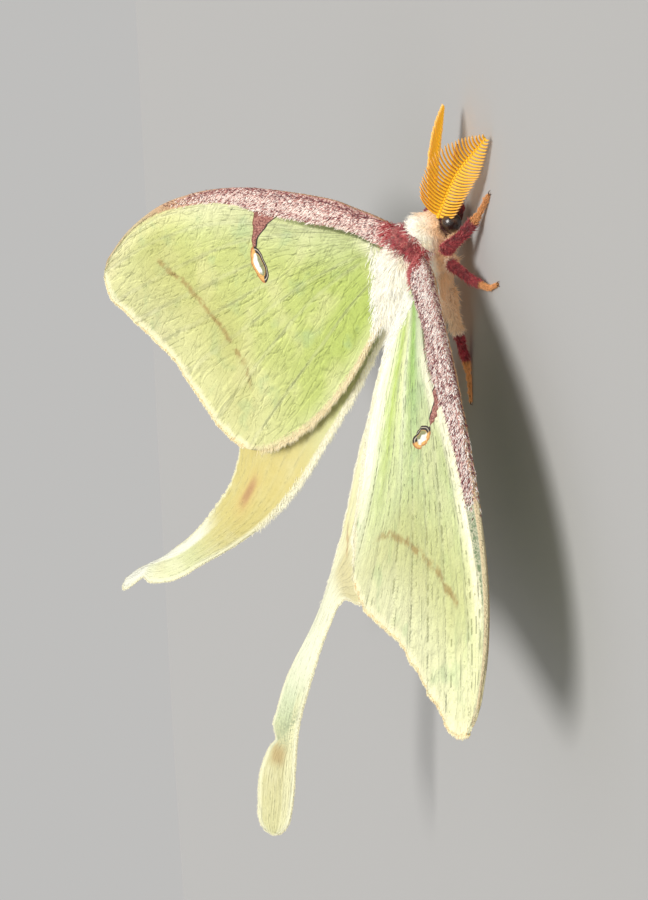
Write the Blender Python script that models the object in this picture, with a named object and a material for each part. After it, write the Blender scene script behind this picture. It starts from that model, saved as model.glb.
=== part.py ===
"""Luna moth at rest, life size, as a still museum model.

The moth stands on its six feet and the end of its abdomen, facing -Y with +X on its left and +Z up.
The left wings are raised and the right wings lie low, and the tails of the hindwings trail behind.
Lengths are in millimetres until a mesh is made. They are measured from a point on the floor, midway
between the forewing hinges. The finished model is then moved so that its box is centred on the origin.
"""

import bmesh
import bpy
import numpy as np

MM = 0.001  # metres in a millimetre
GAP = 0.3  # clear space kept between neighbouring pieces
SIDES = {"left": 1.0, "right": -1.0}

# ---- driving dimensions, mm -------------------------------------------------

WING_THICKNESS = 0.5
HINGE = (5.0, -0.2, 7.4)  # left forewing hinge, mirrored for the right
FORE_LENGTH = 58.8  # hinge to apex

# Forewing outline: distance out from the hinge, and how far behind the hinge line each margin lies there.
COSTA = (
    (0.0, -2.2), (4.0, -3.7), (8.0, -5.0), (16.0, -7.4), (26.0, -9.6), (37.0, -10.4), (47.0, -9.2),
    (54.0, -6.0), (58.8, -1.6),
)
HIND_MARGIN = (
    (0.0, 6.0), (4.0, 11.8), (7.0, 15.8), (13.0, 21.3), (20.0, 25.2), (26.0, 26.4), (30.0, 25.2),
    (35.5, 20.6), (42.0, 13.6), (50.0, 7.7), (56.0, 3.2), (58.8, 0.4),
)

# Each forewing's sweep back, rise and twist in degrees, and how far its end sags, in mm.
FORE_POSE = {"left": (30.5, 42.0, 1.8, 2.6), "right": (20.4, 8.2, 11.8, 3.4)}

HIND_LENGTH = 80.0  # root to the end of the tail
# Hindwing half widths on the body side and the outer side of its middle line.
HIND_INNER = (
    (0, 1.5), (10, 3.5), (20, 5.2), (30, 5.1), (40, 4.2), (50, 3.3), (60, 2.4),
    (68, 2.8), (76, 2.3), (80, 0.8),
)
HIND_OUTER = (
    (0, 3.0), (10, 13.0), (20, 17.5), (30, 14.6), (35, 10.8), (40, 6.8), (45, 4.4), (50, 3.4), (60, 2.4),
    (68, 2.8), (76, 2.3), (80, 0.8),
)
# Middle line of each hindwing and its tail, and the direction across it, at distances from the root.
HIND_LINE = {
    "left": (
        (0, (5.0, 3.5, 5.6)), (10, (5.9, 11.9, 10.7)), (20, (6.3, 20.5, 15.8)), (40, (8.0, 38.6, 24.6)),
        (60, (15.2, 54.3, 34.6)), (80, (26.6, 67.3, 44.5)),
    ),
    "right": (
        (0, (-5.0, 3.5, 5.4)), (10, (-4.9, 13.0, 8.3)), (20, (-5.4, 22.8, 10.9)), (40, (-8.3, 42.1, 15.8)),
        (60, (-12.1, 60.7, 22.2)), (80, (-18.6, 79.4, 25.5)),
    ),
}
HIND_ACROSS = {
    "left": (
        (0, (0.76, -0.42, 0.50)), (20, (0.85, -0.27, 0.46)), (40, (0.81, -0.42, 0.41)),
        (50, (0.69, -0.58, 0.43)), (60, (0.73, -0.65, 0.21)), (70, (0.82, -0.41, -0.40)),
        (80, (0.76, -0.25, -0.60)),
    ),
    "right": (
        (0, (-1.0, -0.02, 0.04)), (20, (-0.99, -0.09, -0.06)), (40, (-0.99, -0.15, 0.02)),
        (50, (-0.98, -0.19, -0.05)), (60, (-0.76, -0.04, -0.66)), (70, (-0.52, -0.04, -0.85)),
        (80, (-0.42, -0.05, -0.91)),
    ),
}

# Furred body, front to back: position along Y, then height of the middle, half width and half height.
THORAX = (
    (-3.4, (6.1, 2.9, 1.9)), (-2.5, (5.8, 4.0, 2.8)), (-0.8, (5.5, 4.9, 3.8)), (1.6, (5.8, 5.3, 4.9)),
    (5.0, (6.3, 5.2, 5.4)), (8.2, (6.0, 4.6, 4.7)), (10.8, (5.7, 3.3, 3.0)),
)
ABDOMEN = (
    (10.8, (5.1, 3.9, 3.5)), (16.0, (4.7, 4.2, 3.9)), (21.0, (3.9, 3.9, 3.9)), (26.0, (2.9, 2.9, 3.2)),
    (29.5, (2.2, 1.6, 1.6)),
)
ABDOMEN_RINGS = 7
RING_RELIEF = 0.12  # depth of the groove between two rings of the abdomen
DOME_REACH = 0.45  # length of a form's rounded end, as a share of its half height
DOME = ((0.55, 0.84), (0.87, 0.5))  # each ring of a rounded end: how far out it lies and its size, as shares
HEAD = ((-6.6, (2.7, 1.1, 1.0)), (-5.8, (2.8, 2.0, 1.6)), (-4.6, (2.9, 2.4, 1.9)), (-3.2, (3.0, 2.3, 1.9)))
EYE_AT = (1.95, -5.2, 2.5)
EYE_RADIUS = 1.15

ANTENNA_THICKNESS = 0.5
# Antenna shaft from root to tip, and the direction across its comb.
ANTENNA_LINE = {
    "left": ((0.0, (1.4, -5.4, 4.3)), (0.5, (3.5, -10.6, 4.1)), (1.0, (6.0, -16.0, 3.1))),
    "right": ((0.0, (-1.4, -5.4, 4.3)), (0.5, (-3.9, -11.0, 2.9)), (1.0, (-6.5, -15.8, 1.0))),
}
ANTENNA_ACROSS = {"left": (-0.84, -0.36, 0.41), "right": (0.40, -0.46, 0.79)}
# Half widths of the comb along the shaft, towards the across direction and away from it.
COMB_HIGH = ((0.0, 0.4), (0.12, 1.7), (0.35, 3.0), (0.6, 2.9), (0.85, 1.5), (1.0, 0.3))
COMB_LOW = ((0.0, 0.4), (0.12, 1.0), (0.35, 2.1), (0.6, 2.1), (0.85, 1.1), (1.0, 0.3))

# Left legs: joints from the body to the tip of the foot, each with the leg's radius there.
LEGS = {
    "leg_fore": (
        ((2.2, -3.4, 1.6), 0.85), ((3.6, -2.3, 3.2), 0.85), ((4.7, -2.6, 3.7), 0.85),
        ((6.2, -6.0, 1.5), 0.75), ((6.9, -8.2, 0.7), 0.45), ((7.8, -10.3, 0.25), 0.32),
    ),
    "leg_mid": (
        ((3.0, -0.2, 1.2), 0.8), ((4.8, -0.5, 2.9), 0.85), ((7.4, -0.6, 2.2), 0.85),
        ((10.3, -0.5, 0.95), 0.7), ((12.3, -1.0, 0.4), 0.42), ((14.6, -2.5, 0.25), 0.32),
    ),
    "leg_hind": (
        ((3.2, 4.4, 1.2), 0.8), ((4.9, 6.0, 2.3), 0.8), ((5.5, 8.6, 1.5), 0.7),
        ((6.4, 11.0, 0.8), 0.5), ((7.7, 13.4, 0.4), 0.38), ((8.9, 15.9, 0.25), 0.32),
    ),
}
LEG_SIDES = 8
LEG_RINGS = 16

FORE_GRID = (23, 10)  # points out along a forewing and across it
HIND_GRID = (29, 8)
COMB_GRID = (13, 5)
SHARP_EDGE = 0.9  # radians between faces, past which an edge stays crisp

# ---- finishes: colour, roughness --------------------------------------------

FINISH = {
    "wing_scales": ((0.70, 0.78, 0.42), 0.75),
    "body_fur": ((0.90, 0.86, 0.74), 0.95),
    "leg_fur": ((0.33, 0.09, 0.10), 0.9),
    "antenna_comb": ((0.80, 0.45, 0.08), 0.6),
    "eye_lens": ((0.05, 0.03, 0.02), 0.2),
}


def clear_scene():
    for obj in list(bpy.data.objects):
        bpy.data.objects.remove(obj, do_unlink=True)


def finish(name):
    """The named material, made the first time it is asked for."""
    material = bpy.data.materials.get(name)
    if material is None:
        colour, roughness = FINISH[name]
        material = bpy.data.materials.new(name)
        material.use_nodes = True
        shader = material.node_tree.nodes["Principled BSDF"]
        shader.inputs["Base Color"].default_value = (*colour, 1.0)
        shader.inputs["Roughness"].default_value = roughness
        shader.inputs["Metallic"].default_value = 0.0
    return material


def flow(stops, at):
    """Values at places along a smooth curve through (place, value) stops. A value is a number or a point."""
    places = np.array([stop[0] for stop in stops], float)
    values = np.array([stop[1] for stop in stops], float)
    slopes = np.gradient(values, places, axis=0)
    at = np.clip(np.asarray(at, float), places[0], places[-1])
    index = np.clip(np.searchsorted(places, at, side="right") - 1, 0, len(places) - 2)
    width = places[index + 1] - places[index]
    t = (at - places[index]) / width
    if values.ndim == 2:
        t = t[..., None]
        width = width[..., None]
    return (
        (2 * t**3 - 3 * t**2 + 1) * values[index]
        + (t**3 - 2 * t**2 + t) * width * slopes[index]
        + (3 * t**2 - 2 * t**3) * values[index + 1]
        + (t**3 - t**2) * width * slopes[index + 1]
    )


def unit(vectors):
    return vectors / np.linalg.norm(vectors, axis=-1, keepdims=True)


def make_object(name, points, faces, material):
    """One mesh object from points in millimetres, with its faces turned outwards."""
    mesh = bpy.data.meshes.new(name)
    mesh.from_pydata([tuple(p * MM) for p in np.asarray(points, float)], [], faces)
    bm = bmesh.new()
    bm.from_mesh(mesh)
    bmesh.ops.recalc_face_normals(bm, faces=bm.faces)
    bm.to_mesh(mesh)
    bm.free()
    mesh.materials.append(finish(material))
    mesh.shade_smooth()
    mesh.set_sharp_from_angle(angle=SHARP_EDGE)
    obj = bpy.data.objects.new(name, mesh)
    bpy.context.collection.objects.link(obj)
    return obj


def sheet(name, middle, thickness, material):
    """A closed thin sheet on both sides of a grid of middle points."""
    along = np.gradient(middle, axis=0)
    across = np.gradient(middle, axis=1)
    half = unit(np.cross(along, across)) * thickness / 2
    rows, columns = middle.shape[:2]
    points = np.concatenate([(middle + half).reshape(-1, 3), (middle - half).reshape(-1, 3)])
    lower = rows * columns

    def corner(i, j):
        return i * columns + j

    faces = []
    for i in range(rows - 1):
        for j in range(columns - 1):
            quad = [corner(i, j), corner(i + 1, j), corner(i + 1, j + 1), corner(i, j + 1)]
            faces.append(quad)
            faces.append([k + lower for k in reversed(quad)])
    rim = [corner(i, 0) for i in range(rows)]
    rim += [corner(rows - 1, j) for j in range(1, columns)]
    rim += [corner(i, columns - 1) for i in range(rows - 2, -1, -1)]
    rim += [corner(0, j) for j in range(columns - 2, 0, -1)]
    for a, b in zip(rim, rim[1:] + rim[:1]):
        faces.append([b, a, a + lower, b + lower])
    return make_object(name, points, faces, material)


def rings_to_faces(rings, sides):
    """Faces of a closed skin over rings of points, with a pole before the first and after the last ring."""
    faces = []
    for r in range(rings - 1):
        for k in range(sides):
            a = r * sides + k
            b = r * sides + (k + 1) % sides
            faces.append([a, b, b + sides, a + sides])
    first_pole = rings * sides
    last_pole = first_pole + 1
    last = (rings - 1) * sides
    for k in range(sides):
        following = (k + 1) % sides
        faces.append([following, k, first_pole])
        faces.append([last + k, last + following, last_pole])
    return faces


def dome_ring(section, reach, out, size):
    """A ring of the rounded end beyond a section: out and size are shares of the reach and of the section."""
    y, height, half_width, half_height = section
    return (y + reach * out, height, half_width * size, half_height * size)


def furred_form(name, stations, material, grow=0.0, rings=14, sides=20, relief=0.0, relief_rings=0):
    """A rounded form lofted along Y, closed by domes, and cut flat where it meets the floor."""
    start, end = stations[0][0], stations[-1][0]
    share = np.linspace(0.0, 1.0, rings)
    shape = flow(stations, start + (end - start) * share)
    wave = relief * np.cos(2 * np.pi * relief_rings * share)
    sections = np.column_stack([
        start + (end - start) * share, shape[:, 0], shape[:, 1] + grow - wave, shape[:, 2] + grow - wave,
    ])
    front_reach = -(DOME_REACH * sections[0, 3] + grow)
    back_reach = DOME_REACH * sections[-1, 3] + grow
    front = [dome_ring(sections[0], front_reach, *ring) for ring in reversed(DOME)]
    back = [dome_ring(sections[-1], back_reach, *ring) for ring in DOME]
    front_pole = (0.0, start + front_reach, sections[0, 1])
    back_pole = (0.0, end + back_reach, sections[-1, 1])
    sections = [*front, *sections, *back]
    angles = np.arange(sides) * 2 * np.pi / sides
    points = [(w * np.cos(a), y, z + h * np.sin(a)) for y, z, w, h in sections for a in angles]
    points = np.array([*points, front_pole, back_pole])
    points[:, 2] = np.maximum(points[:, 2], -grow)
    return make_object(name, points, rings_to_faces(len(sections), sides), material)


def tube(name, joints, material, side):
    """A tapering limb through its joints, flat under the foot where it lies on the floor."""
    corners = np.array([joint[0] for joint in joints], float) * (side, 1.0, 1.0)
    radii = [joint[1] for joint in joints]
    lengths = np.concatenate([[0.0], np.cumsum(np.linalg.norm(np.diff(corners, axis=0), axis=1))])
    at = np.linspace(0.0, lengths[-1], LEG_RINGS)
    middle = flow(list(zip(lengths, corners)), at)
    radius = flow(list(zip(lengths, radii)), at)
    forward = unit(np.gradient(middle, axis=0))
    # The first cross direction is level, and each next one is the last made square to the limb.
    across = unit(np.cross(forward[0], (0.0, 0.0, 1.0)))
    angles = np.arange(LEG_SIDES) * 2 * np.pi / LEG_SIDES
    points = []
    for centre, ahead, reach in zip(middle, forward, radius):
        across = unit(across - ahead * across.dot(ahead))
        upward = np.cross(across, ahead)
        points += [centre + reach * (np.cos(a) * across + np.sin(a) * upward) for a in angles]
    points += [middle[0] - forward[0] * radius[0] * 0.6, middle[-1] + forward[-1] * radius[-1] * 0.8]
    points = np.array(points)
    points[:, 2] = np.maximum(points[:, 2], 0.0)
    return make_object(name, points, rings_to_faces(LEG_RINGS, LEG_SIDES), material)


def cut_clear(obj, *cutters):
    """Cuts a piece back from its neighbours."""
    for cutter in cutters:
        cut = obj.modifiers.new(f"clear_{cutter.name}", "BOOLEAN")
        cut.operation = "DIFFERENCE"
        cut.solver = "EXACT"
        cut.object = cutter


def as_cutter(obj):
    obj.hide_render = True
    obj.display_type = "WIRE"
    return obj


def forewing(side_name):
    """A triangular wing that droops towards its tip."""
    side = SIDES[side_name]
    sweep, rise, twist = np.radians(FORE_POSE[side_name][:3])
    sag = FORE_POSE[side_name][3]
    out = np.array([side * np.cos(rise) * np.cos(sweep), np.cos(rise) * np.sin(sweep), np.sin(rise)])
    back = np.array([-side * np.sin(sweep), np.cos(sweep), 0.0])
    normal = np.cross(out, back) * side
    turned = np.cos(twist) * back + np.sin(twist) * normal
    normal = np.cos(twist) * normal - np.sin(twist) * back
    u = FORE_LENGTH * np.linspace(0.0, 1.0, FORE_GRID[0])
    share = np.linspace(0.0, 1.0, FORE_GRID[1])
    v = flow(COSTA, u)[:, None] * (1 - share) + flow(HIND_MARGIN, u)[:, None] * share
    droop = -sag * (u / FORE_LENGTH) ** 2
    hinge = np.array(HINGE) * (side, 1.0, 1.0)
    middle = hinge + u[:, None, None] * out + v[..., None] * turned + droop[:, None, None] * normal
    return sheet(f"forewing_{side_name}", middle, WING_THICKNESS, "wing_scales")


def hindwing(side_name):
    """A fan with a long tail, laid out across a curved middle line."""
    at = HIND_LENGTH * np.linspace(0.0, 1.0, HIND_GRID[0])
    line = flow(HIND_LINE[side_name], at)
    across = unit(flow(HIND_ACROSS[side_name], at))
    share = np.linspace(0.0, 1.0, HIND_GRID[1])
    offset = -flow(HIND_INNER, at)[:, None] * (1 - share) + flow(HIND_OUTER, at)[:, None] * share
    middle = line[:, None, :] + offset[..., None] * across[:, None, :]
    return sheet(f"hindwing_{side_name}", middle, WING_THICKNESS, "wing_scales")


def antenna(side_name):
    """A feathered antenna as the leaf-shaped outline of its comb."""
    at = np.linspace(0.0, 1.0, COMB_GRID[0])
    line = flow(ANTENNA_LINE[side_name], at)
    ahead = unit(np.gradient(line, axis=0))
    across = np.array(ANTENNA_ACROSS[side_name])
    across = unit(across - ahead * (ahead @ across)[:, None])
    share = np.linspace(0.0, 1.0, COMB_GRID[1])
    offset = -flow(COMB_LOW, at)[:, None] * (1 - share) + flow(COMB_HIGH, at)[:, None] * share
    middle = line[:, None, :] + offset[..., None] * across[:, None, :]
    return sheet(f"antenna_{side_name}", middle, ANTENNA_THICKNESS, "antenna_comb")


def eye(side_name, radius, suffix=""):
    bm = bmesh.new()
    bmesh.ops.create_icosphere(bm, subdivisions=2, radius=radius)
    points = [np.array(v.co) + np.array(EYE_AT) * (SIDES[side_name], 1.0, 1.0) for v in bm.verts]
    faces = [[v.index for v in f.verts] for f in bm.faces]
    bm.free()
    return make_object(f"eye_{side_name}{suffix}", points, faces, "eye_lens")


def centre_on_floor(objects):
    """Moves the whole model so that the middle of the underside of its box is at the origin."""
    bpy.context.view_layer.update()
    graph = bpy.context.evaluated_depsgraph_get()
    corners = []
    for obj in objects:
        if obj.hide_render:
            continue
        mesh = obj.evaluated_get(graph).to_mesh()
        corners += [vertex.co.copy() for vertex in mesh.vertices]
    corners = np.array(corners)
    low, high = corners.min(axis=0), corners.max(axis=0)
    shift = np.array([(low[0] + high[0]) / 2, (low[1] + high[1]) / 2, low[2]])
    for mesh in {obj.data for obj in objects}:
        for vertex in mesh.vertices:
            vertex.co = [a - b for a, b in zip(vertex.co, shift)]


clear_scene()

thorax = furred_form("thorax", THORAX, "body_fur")
thorax_room = as_cutter(furred_form("thorax_room", THORAX, "body_fur", grow=GAP))
abdomen = furred_form(
    "abdomen", ABDOMEN, "body_fur", rings=15, relief=RING_RELIEF, relief_rings=ABDOMEN_RINGS,
)
abdomen_room = as_cutter(furred_form("abdomen_room", ABDOMEN, "body_fur", grow=GAP))
head = furred_form("head", HEAD, "body_fur", rings=8, sides=16)
head_room = as_cutter(furred_form("head_room", HEAD, "body_fur", grow=GAP, rings=8, sides=16))
cut_clear(abdomen, thorax_room)

eye_rooms = []
for side_name in SIDES:
    eye(side_name, EYE_RADIUS)
    eye_rooms.append(as_cutter(eye(side_name, EYE_RADIUS + GAP, "_room")))
    cut_clear(antenna(side_name), head_room)
    cut_clear(forewing(side_name), thorax_room)
    cut_clear(hindwing(side_name), thorax_room, abdomen_room)
    for leg_name, joints in LEGS.items():
        leg = tube(f"{leg_name}_{side_name}", joints, "leg_fur", SIDES[side_name])
        cut_clear(leg, thorax_room, head_room)
cut_clear(head, thorax_room, *eye_rooms)

centre_on_floor(list(bpy.data.objects))
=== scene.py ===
"""Luna moth at rest, life size: skin and fur, scaled wings, combed antennae, eyes and claws.

Lengths are in millimetres, from the point on the floor midway between the two forewing hinges, until a
mesh is made. +X is the moth's left, -Y the way it faces and +Z is up.
"""

import bmesh
import bpy
import numpy as np
from mathutils import Matrix, Vector


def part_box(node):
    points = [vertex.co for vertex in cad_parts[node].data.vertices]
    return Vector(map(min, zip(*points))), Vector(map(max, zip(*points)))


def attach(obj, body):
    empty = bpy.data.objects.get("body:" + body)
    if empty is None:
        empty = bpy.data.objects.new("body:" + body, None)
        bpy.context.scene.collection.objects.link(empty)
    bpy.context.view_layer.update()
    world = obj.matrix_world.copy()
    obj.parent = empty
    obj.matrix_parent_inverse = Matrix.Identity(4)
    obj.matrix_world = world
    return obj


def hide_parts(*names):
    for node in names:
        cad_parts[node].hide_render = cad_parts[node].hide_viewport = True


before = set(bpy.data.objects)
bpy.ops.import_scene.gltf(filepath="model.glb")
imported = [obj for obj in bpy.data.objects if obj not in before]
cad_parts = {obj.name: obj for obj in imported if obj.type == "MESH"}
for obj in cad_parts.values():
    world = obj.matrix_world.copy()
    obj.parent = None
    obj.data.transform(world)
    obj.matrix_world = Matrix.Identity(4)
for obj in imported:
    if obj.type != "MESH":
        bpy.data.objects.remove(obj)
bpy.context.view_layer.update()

# ---- Floor, lamps and camera --------------------------------------------------
# The moth stands on a plain pale floor, which runs on into an even sky, under one wide soft lamp above.
# The camera is rolled over onto its side, low over the floor, in front of the moth and to its right.

MM = 0.001
BETWEEN_EYES = np.array([0.0, -5.2, 2.5])


def middle_of(node):
    low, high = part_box(node)
    return (np.array(low) + np.array(high)) / 2


origin = (middle_of("eye_left") + middle_of("eye_right")) / 2 - BETWEEN_EYES * MM


def placed(points):
    """Metres in the model's frame, from millimetres off the floor point between the hinges."""
    return np.asarray(points, float) * MM + origin


def aimed(look, up):
    """The turn of a camera or lamp that looks along one direction, with its top towards another."""
    back = -Vector(look).normalized()
    right = Vector(up).cross(back).normalized()
    return Matrix((right, back.cross(right), back)).transposed().to_4x4()


CAMERA_LENS = 52.2
CAMERA_AT = (-142.8, -64.9, 39.8)
CAMERA_LOOK, CAMERA_TOP = (0.8317, 0.5389, -0.1338), (0.5366, -0.8420, -0.0558)
LAMP_AT = (-150, -110, 330)
LAMP_LOOK = (0.42, 0.36, -0.83)

camera_data = bpy.data.cameras.new("camera")
camera_data.lens = CAMERA_LENS
camera_data.clip_start = 0.005
camera_data.clip_end = 50.0
camera = bpy.data.objects.new("camera", camera_data)
bpy.context.collection.objects.link(camera)
camera.matrix_world = Matrix.Translation(placed(CAMERA_AT)) @ aimed(CAMERA_LOOK, CAMERA_TOP)
bpy.context.scene.camera = camera

lamp_data = bpy.data.lights.new("lamp", "SUN")
lamp_data.energy = 3.0
lamp_data.angle = 0.45
lamp_data.color = (1.0, 0.98, 0.94)
lamp = bpy.data.objects.new("lamp", lamp_data)
bpy.context.collection.objects.link(lamp)
lamp.matrix_world = Matrix.Translation(placed(LAMP_AT)) @ aimed(LAMP_LOOK, (0, 1, 0.01))

world = bpy.data.worlds.new("sky")
world.use_nodes = True
sky_sockets = world.node_tree.nodes["Background"].inputs
sky_sockets["Color"].default_value = (1.0, 0.99, 0.97, 1.0)
sky_sockets["Strength"].default_value = 0.52
bpy.context.scene.world = world
bpy.context.scene.view_settings.view_transform = "Standard"

FLOOR_REACH = 4.0
floor_mesh = bpy.data.meshes.new("floor")
floor_corners = [(x * FLOOR_REACH, y * FLOOR_REACH, 0.0) for x, y in ((-1, -1), (1, -1), (1, 1), (-1, 1))]
floor_mesh.from_pydata(floor_corners, [], [(0, 1, 2, 3)])
floor_paint = bpy.data.materials.new("floor_paint")
floor_paint.use_nodes = True
floor_sockets = floor_paint.node_tree.nodes["Principled BSDF"].inputs
floor_sockets["Base Color"].default_value = (0.395, 0.393, 0.392, 1.0)
floor_sockets["Roughness"].default_value = 0.9
floor_mesh.materials.append(floor_paint)
floor = bpy.data.objects.new("floor", floor_mesh)
bpy.context.collection.objects.link(floor)

# ---- Body skin ---------------------------------------------------------------
# Head, thorax, abdomen and legs are one soft skin under the fur. It is lofted from rings and tubes that
# run into each other, then remeshed into one surface, so that no seam shows where a leg leaves the body.


NEARLY_UP = (0.01, 0.02, 1.0)  # a limb's sides are set out from this, as none runs along it


def flow(stops, at):
    """Values at places along a smooth curve through (place, value) stops. A value is a number or a point."""
    places = np.array([stop[0] for stop in stops], float)
    values = np.array([stop[1] for stop in stops], float)
    slopes = np.gradient(values, places, axis=0)
    at = np.clip(np.asarray(at, float), places[0], places[-1])
    index = np.clip(np.searchsorted(places, at, side="right") - 1, 0, len(places) - 2)
    width = places[index + 1] - places[index]
    t = (at - places[index]) / width
    if values.ndim == 2:
        t = t[..., None]
        width = width[..., None]
    return (
        (2 * t**3 - 3 * t**2 + 1) * values[index]
        + (t**3 - 2 * t**2 + t) * width * slopes[index]
        + (3 * t**2 - 2 * t**3) * values[index + 1]
        + (t**3 - t**2) * width * slopes[index + 1]
    )


def unit(vectors):
    return vectors / np.maximum(np.linalg.norm(vectors, axis=-1, keepdims=True), 1e-9)


def eased(values, low, high):
    """0 below low, 1 above high, and a smooth rise between. Works downwards too, where high is below low."""
    t = np.clip((np.asarray(values, float) - low) / (high - low), 0.0, 1.0)
    return t * t * (3 - 2 * t)


def closed_rings(points, rings, sides):
    """Faces over rings of points, with a pole before the first ring and one after the last."""
    faces = []
    for r in range(rings - 1):
        for k in range(sides):
            a = r * sides + k
            b = r * sides + (k + 1) % sides
            faces.append((a, b, b + sides, a + sides))
    last = (rings - 1) * sides
    for k in range(sides):
        following = (k + 1) % sides
        faces.append((following, k, rings * sides))
        faces.append((last + k, last + following, rings * sides + 1))
    return np.array(points), faces


def lofted(stations, rings, sides, relief=None):
    """A rounded form along Y through (place, (height, half width, half height)) stations."""
    start, end = stations[0][0], stations[-1][0]
    at = np.linspace(start, end, rings)
    height, half_width, half_height = flow(stations, at).T
    swell = relief(at) if relief else np.zeros(rings)
    angles = np.arange(sides) * 2 * np.pi / sides
    points = [
        ((w + s) * np.cos(a), y, z + (h + s) * np.sin(a))
        for y, z, w, h, s in zip(at, height, half_width, half_height, swell)
        for a in angles
    ]
    points += [(0.0, start - half_height[0] * 0.4, height[0]), (0.0, end + half_height[-1] * 0.4, height[-1])]
    return closed_rings(points, rings, sides)


def course(joints, count):
    """A limb's line at even steps: shares of its length, middle points, radii and directions."""
    corners = np.array([joint[0] for joint in joints], float)
    lengths = np.concatenate([[0.0], np.cumsum(np.linalg.norm(np.diff(corners, axis=0), axis=1))])
    at = np.linspace(0.0, lengths[-1], count)
    middle = flow(list(zip(lengths, corners)), at)
    radius = flow([(place, joint[1]) for place, joint in zip(lengths, joints)], at)
    return at / lengths[-1], middle, radius, unit(np.gradient(middle, axis=0))


def limb(joints, rings, sides, swell=None):
    """A tapering tube through (point, radius) joints: its points and faces."""
    share, middle, radius, forward = course(joints, rings)
    if swell is not None:
        radius = radius * swell(share)
    across = unit(np.cross(forward[0], NEARLY_UP))
    angles = np.arange(sides) * 2 * np.pi / sides
    points = []
    for centre, ahead, reach in zip(middle, forward, radius):
        across = unit(across - ahead * across.dot(ahead))
        upward = np.cross(across, ahead)
        points += [centre + reach * (np.cos(a) * across + np.sin(a) * upward) for a in angles]
    points += [middle[0] - forward[0] * radius[0] * 0.6, middle[-1] + forward[-1] * radius[-1] * 0.7]
    return closed_rings(points, rings, sides)


def joined(forms):
    """Several forms' points and faces as one."""
    points, faces, start = [], [], 0
    for form_points, form_faces in forms:
        points.append(form_points)
        faces += [tuple(i + start for i in face) for face in form_faces]
        start += len(form_points)
    return np.concatenate(points), faces


def add_object(name, mesh):
    obj = bpy.data.objects.new(name, mesh)
    bpy.context.collection.objects.link(obj)
    return obj


def add_mesh(name, points, faces):
    """A smooth-shaded mesh object from points in millimetres."""
    mesh = bpy.data.meshes.new(name)
    mesh.from_pydata(placed(points).tolist(), [], faces)
    mesh.shade_smooth()
    return add_object(name, mesh)


def turned_outwards(obj):
    bm = bmesh.new()
    bm.from_mesh(obj.data)
    bmesh.ops.recalc_face_normals(bm, faces=bm.faces)
    bm.to_mesh(obj.data)
    bm.free()
    return obj


def settle(obj):
    """Makes what an object's modifiers give its plain mesh, and takes them off."""
    graph = bpy.context.evaluated_depsgraph_get()
    obj.data = bpy.data.meshes.new_from_object(obj.evaluated_get(graph))
    obj.modifiers.clear()
    return obj


def read(items, key, kind=float):
    """One measure of each of a mesh's points, faces or corners."""
    size = 3 if key in ("co", "vector") else 1
    values = np.zeros(len(items) * size, kind)
    items.foreach_get(key, values)
    return values.reshape(-1, 3) if size == 3 else values


def places(mesh):
    """A mesh's points in millimetres off the floor point between the hinges."""
    return (read(mesh.vertices, "co") - origin) / MM


def outward(mesh):
    return read(mesh.vertex_normals, "vector", np.float32).astype(float)


def paint(mesh, **values):
    """Keeps values at a mesh's points, as numbers or directions, for finishes and fur to read."""
    for name, value in values.items():
        kind = "FLOAT" if np.ndim(value) == 1 else "FLOAT_VECTOR"
        attribute = mesh.attributes.get(name) or mesh.attributes.new(name, kind, "POINT")
        key = "value" if kind == "FLOAT" else "vector"
        attribute.data.foreach_set(key, np.asarray(value, np.float32).ravel())


TRUNK = (
    (-4.6, (3.9, 1.5, 1.1)), (-3.3, (4.85, 2.9, 2.15)), (-1.2, (5.4, 3.5, 3.0)), (2.0, (5.8, 3.9, 3.7)),
    (5.5, (6.0, 3.7, 3.7)), (8.5, (5.8, 3.0, 3.1)), (10.8, (5.3, 2.8, 2.7)), (13.5, (5.0, 3.2, 3.0)),
    (17.0, (4.6, 3.4, 3.2)), (21.0, (4.0, 3.1, 3.1)), (25.5, (3.1, 2.3, 2.4)), (28.6, (2.4, 1.4, 1.4)),
)
TRUNK_BACK = 28.6
WAIST = 10.8
LIMB_STEPS = 60  # places along a limb at which its skin is measured
HEAD = (
    (-5.75, (2.2, 0.9, 0.8)), (-5.3, (2.35, 1.5, 1.3)), (-4.5, (2.8, 1.9, 1.65)), (-3.4, (3.7, 1.95, 1.8)),
    (-2.4, (4.6, 1.6, 1.5)),
)
ABDOMEN_RINGS = 7
SKIN_VOXEL = 0.13

# Left legs: joints from the body to the tip of the foot, each with the leg's radius under its fur.
LEGS = {
    "fore": (
        ((2.2, -2.6, 2.2), 0.60), ((3.6, -2.3, 3.2), 0.62), ((4.7, -2.6, 3.7), 0.55),
        ((6.2, -6.0, 1.5), 0.42), ((6.9, -8.2, 0.62), 0.27), ((7.8, -10.3, 0.2), 0.19),
    ),
    "mid": (
        ((2.2, 0.2, 2.2), 0.50), ((4.8, -0.5, 2.9), 0.44), ((7.4, -0.6, 2.2), 0.36),
        ((10.3, -0.5, 0.95), 0.28), ((12.3, -1.0, 0.4), 0.23), ((14.6, -2.5, 0.2), 0.18),
    ),
    "hind": (
        ((2.4, 4.0, 2.2), 0.55), ((4.9, 6.0, 2.3), 0.52), ((5.5, 8.6, 1.5), 0.42), ((6.4, 11.0, 0.8), 0.32),
        ((7.7, 13.4, 0.35), 0.24), ((8.9, 15.9, 0.2), 0.18),
    ),
}
HIDDEN_SHARE = {"fore": 0.10, "mid": 0.16, "hind": 0.38}  # of each leg, under the long fur of the belly
FOOT_FROM = 0.66  # share of a leg's length where its furry shank ends and its five-jointed foot begins


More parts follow.
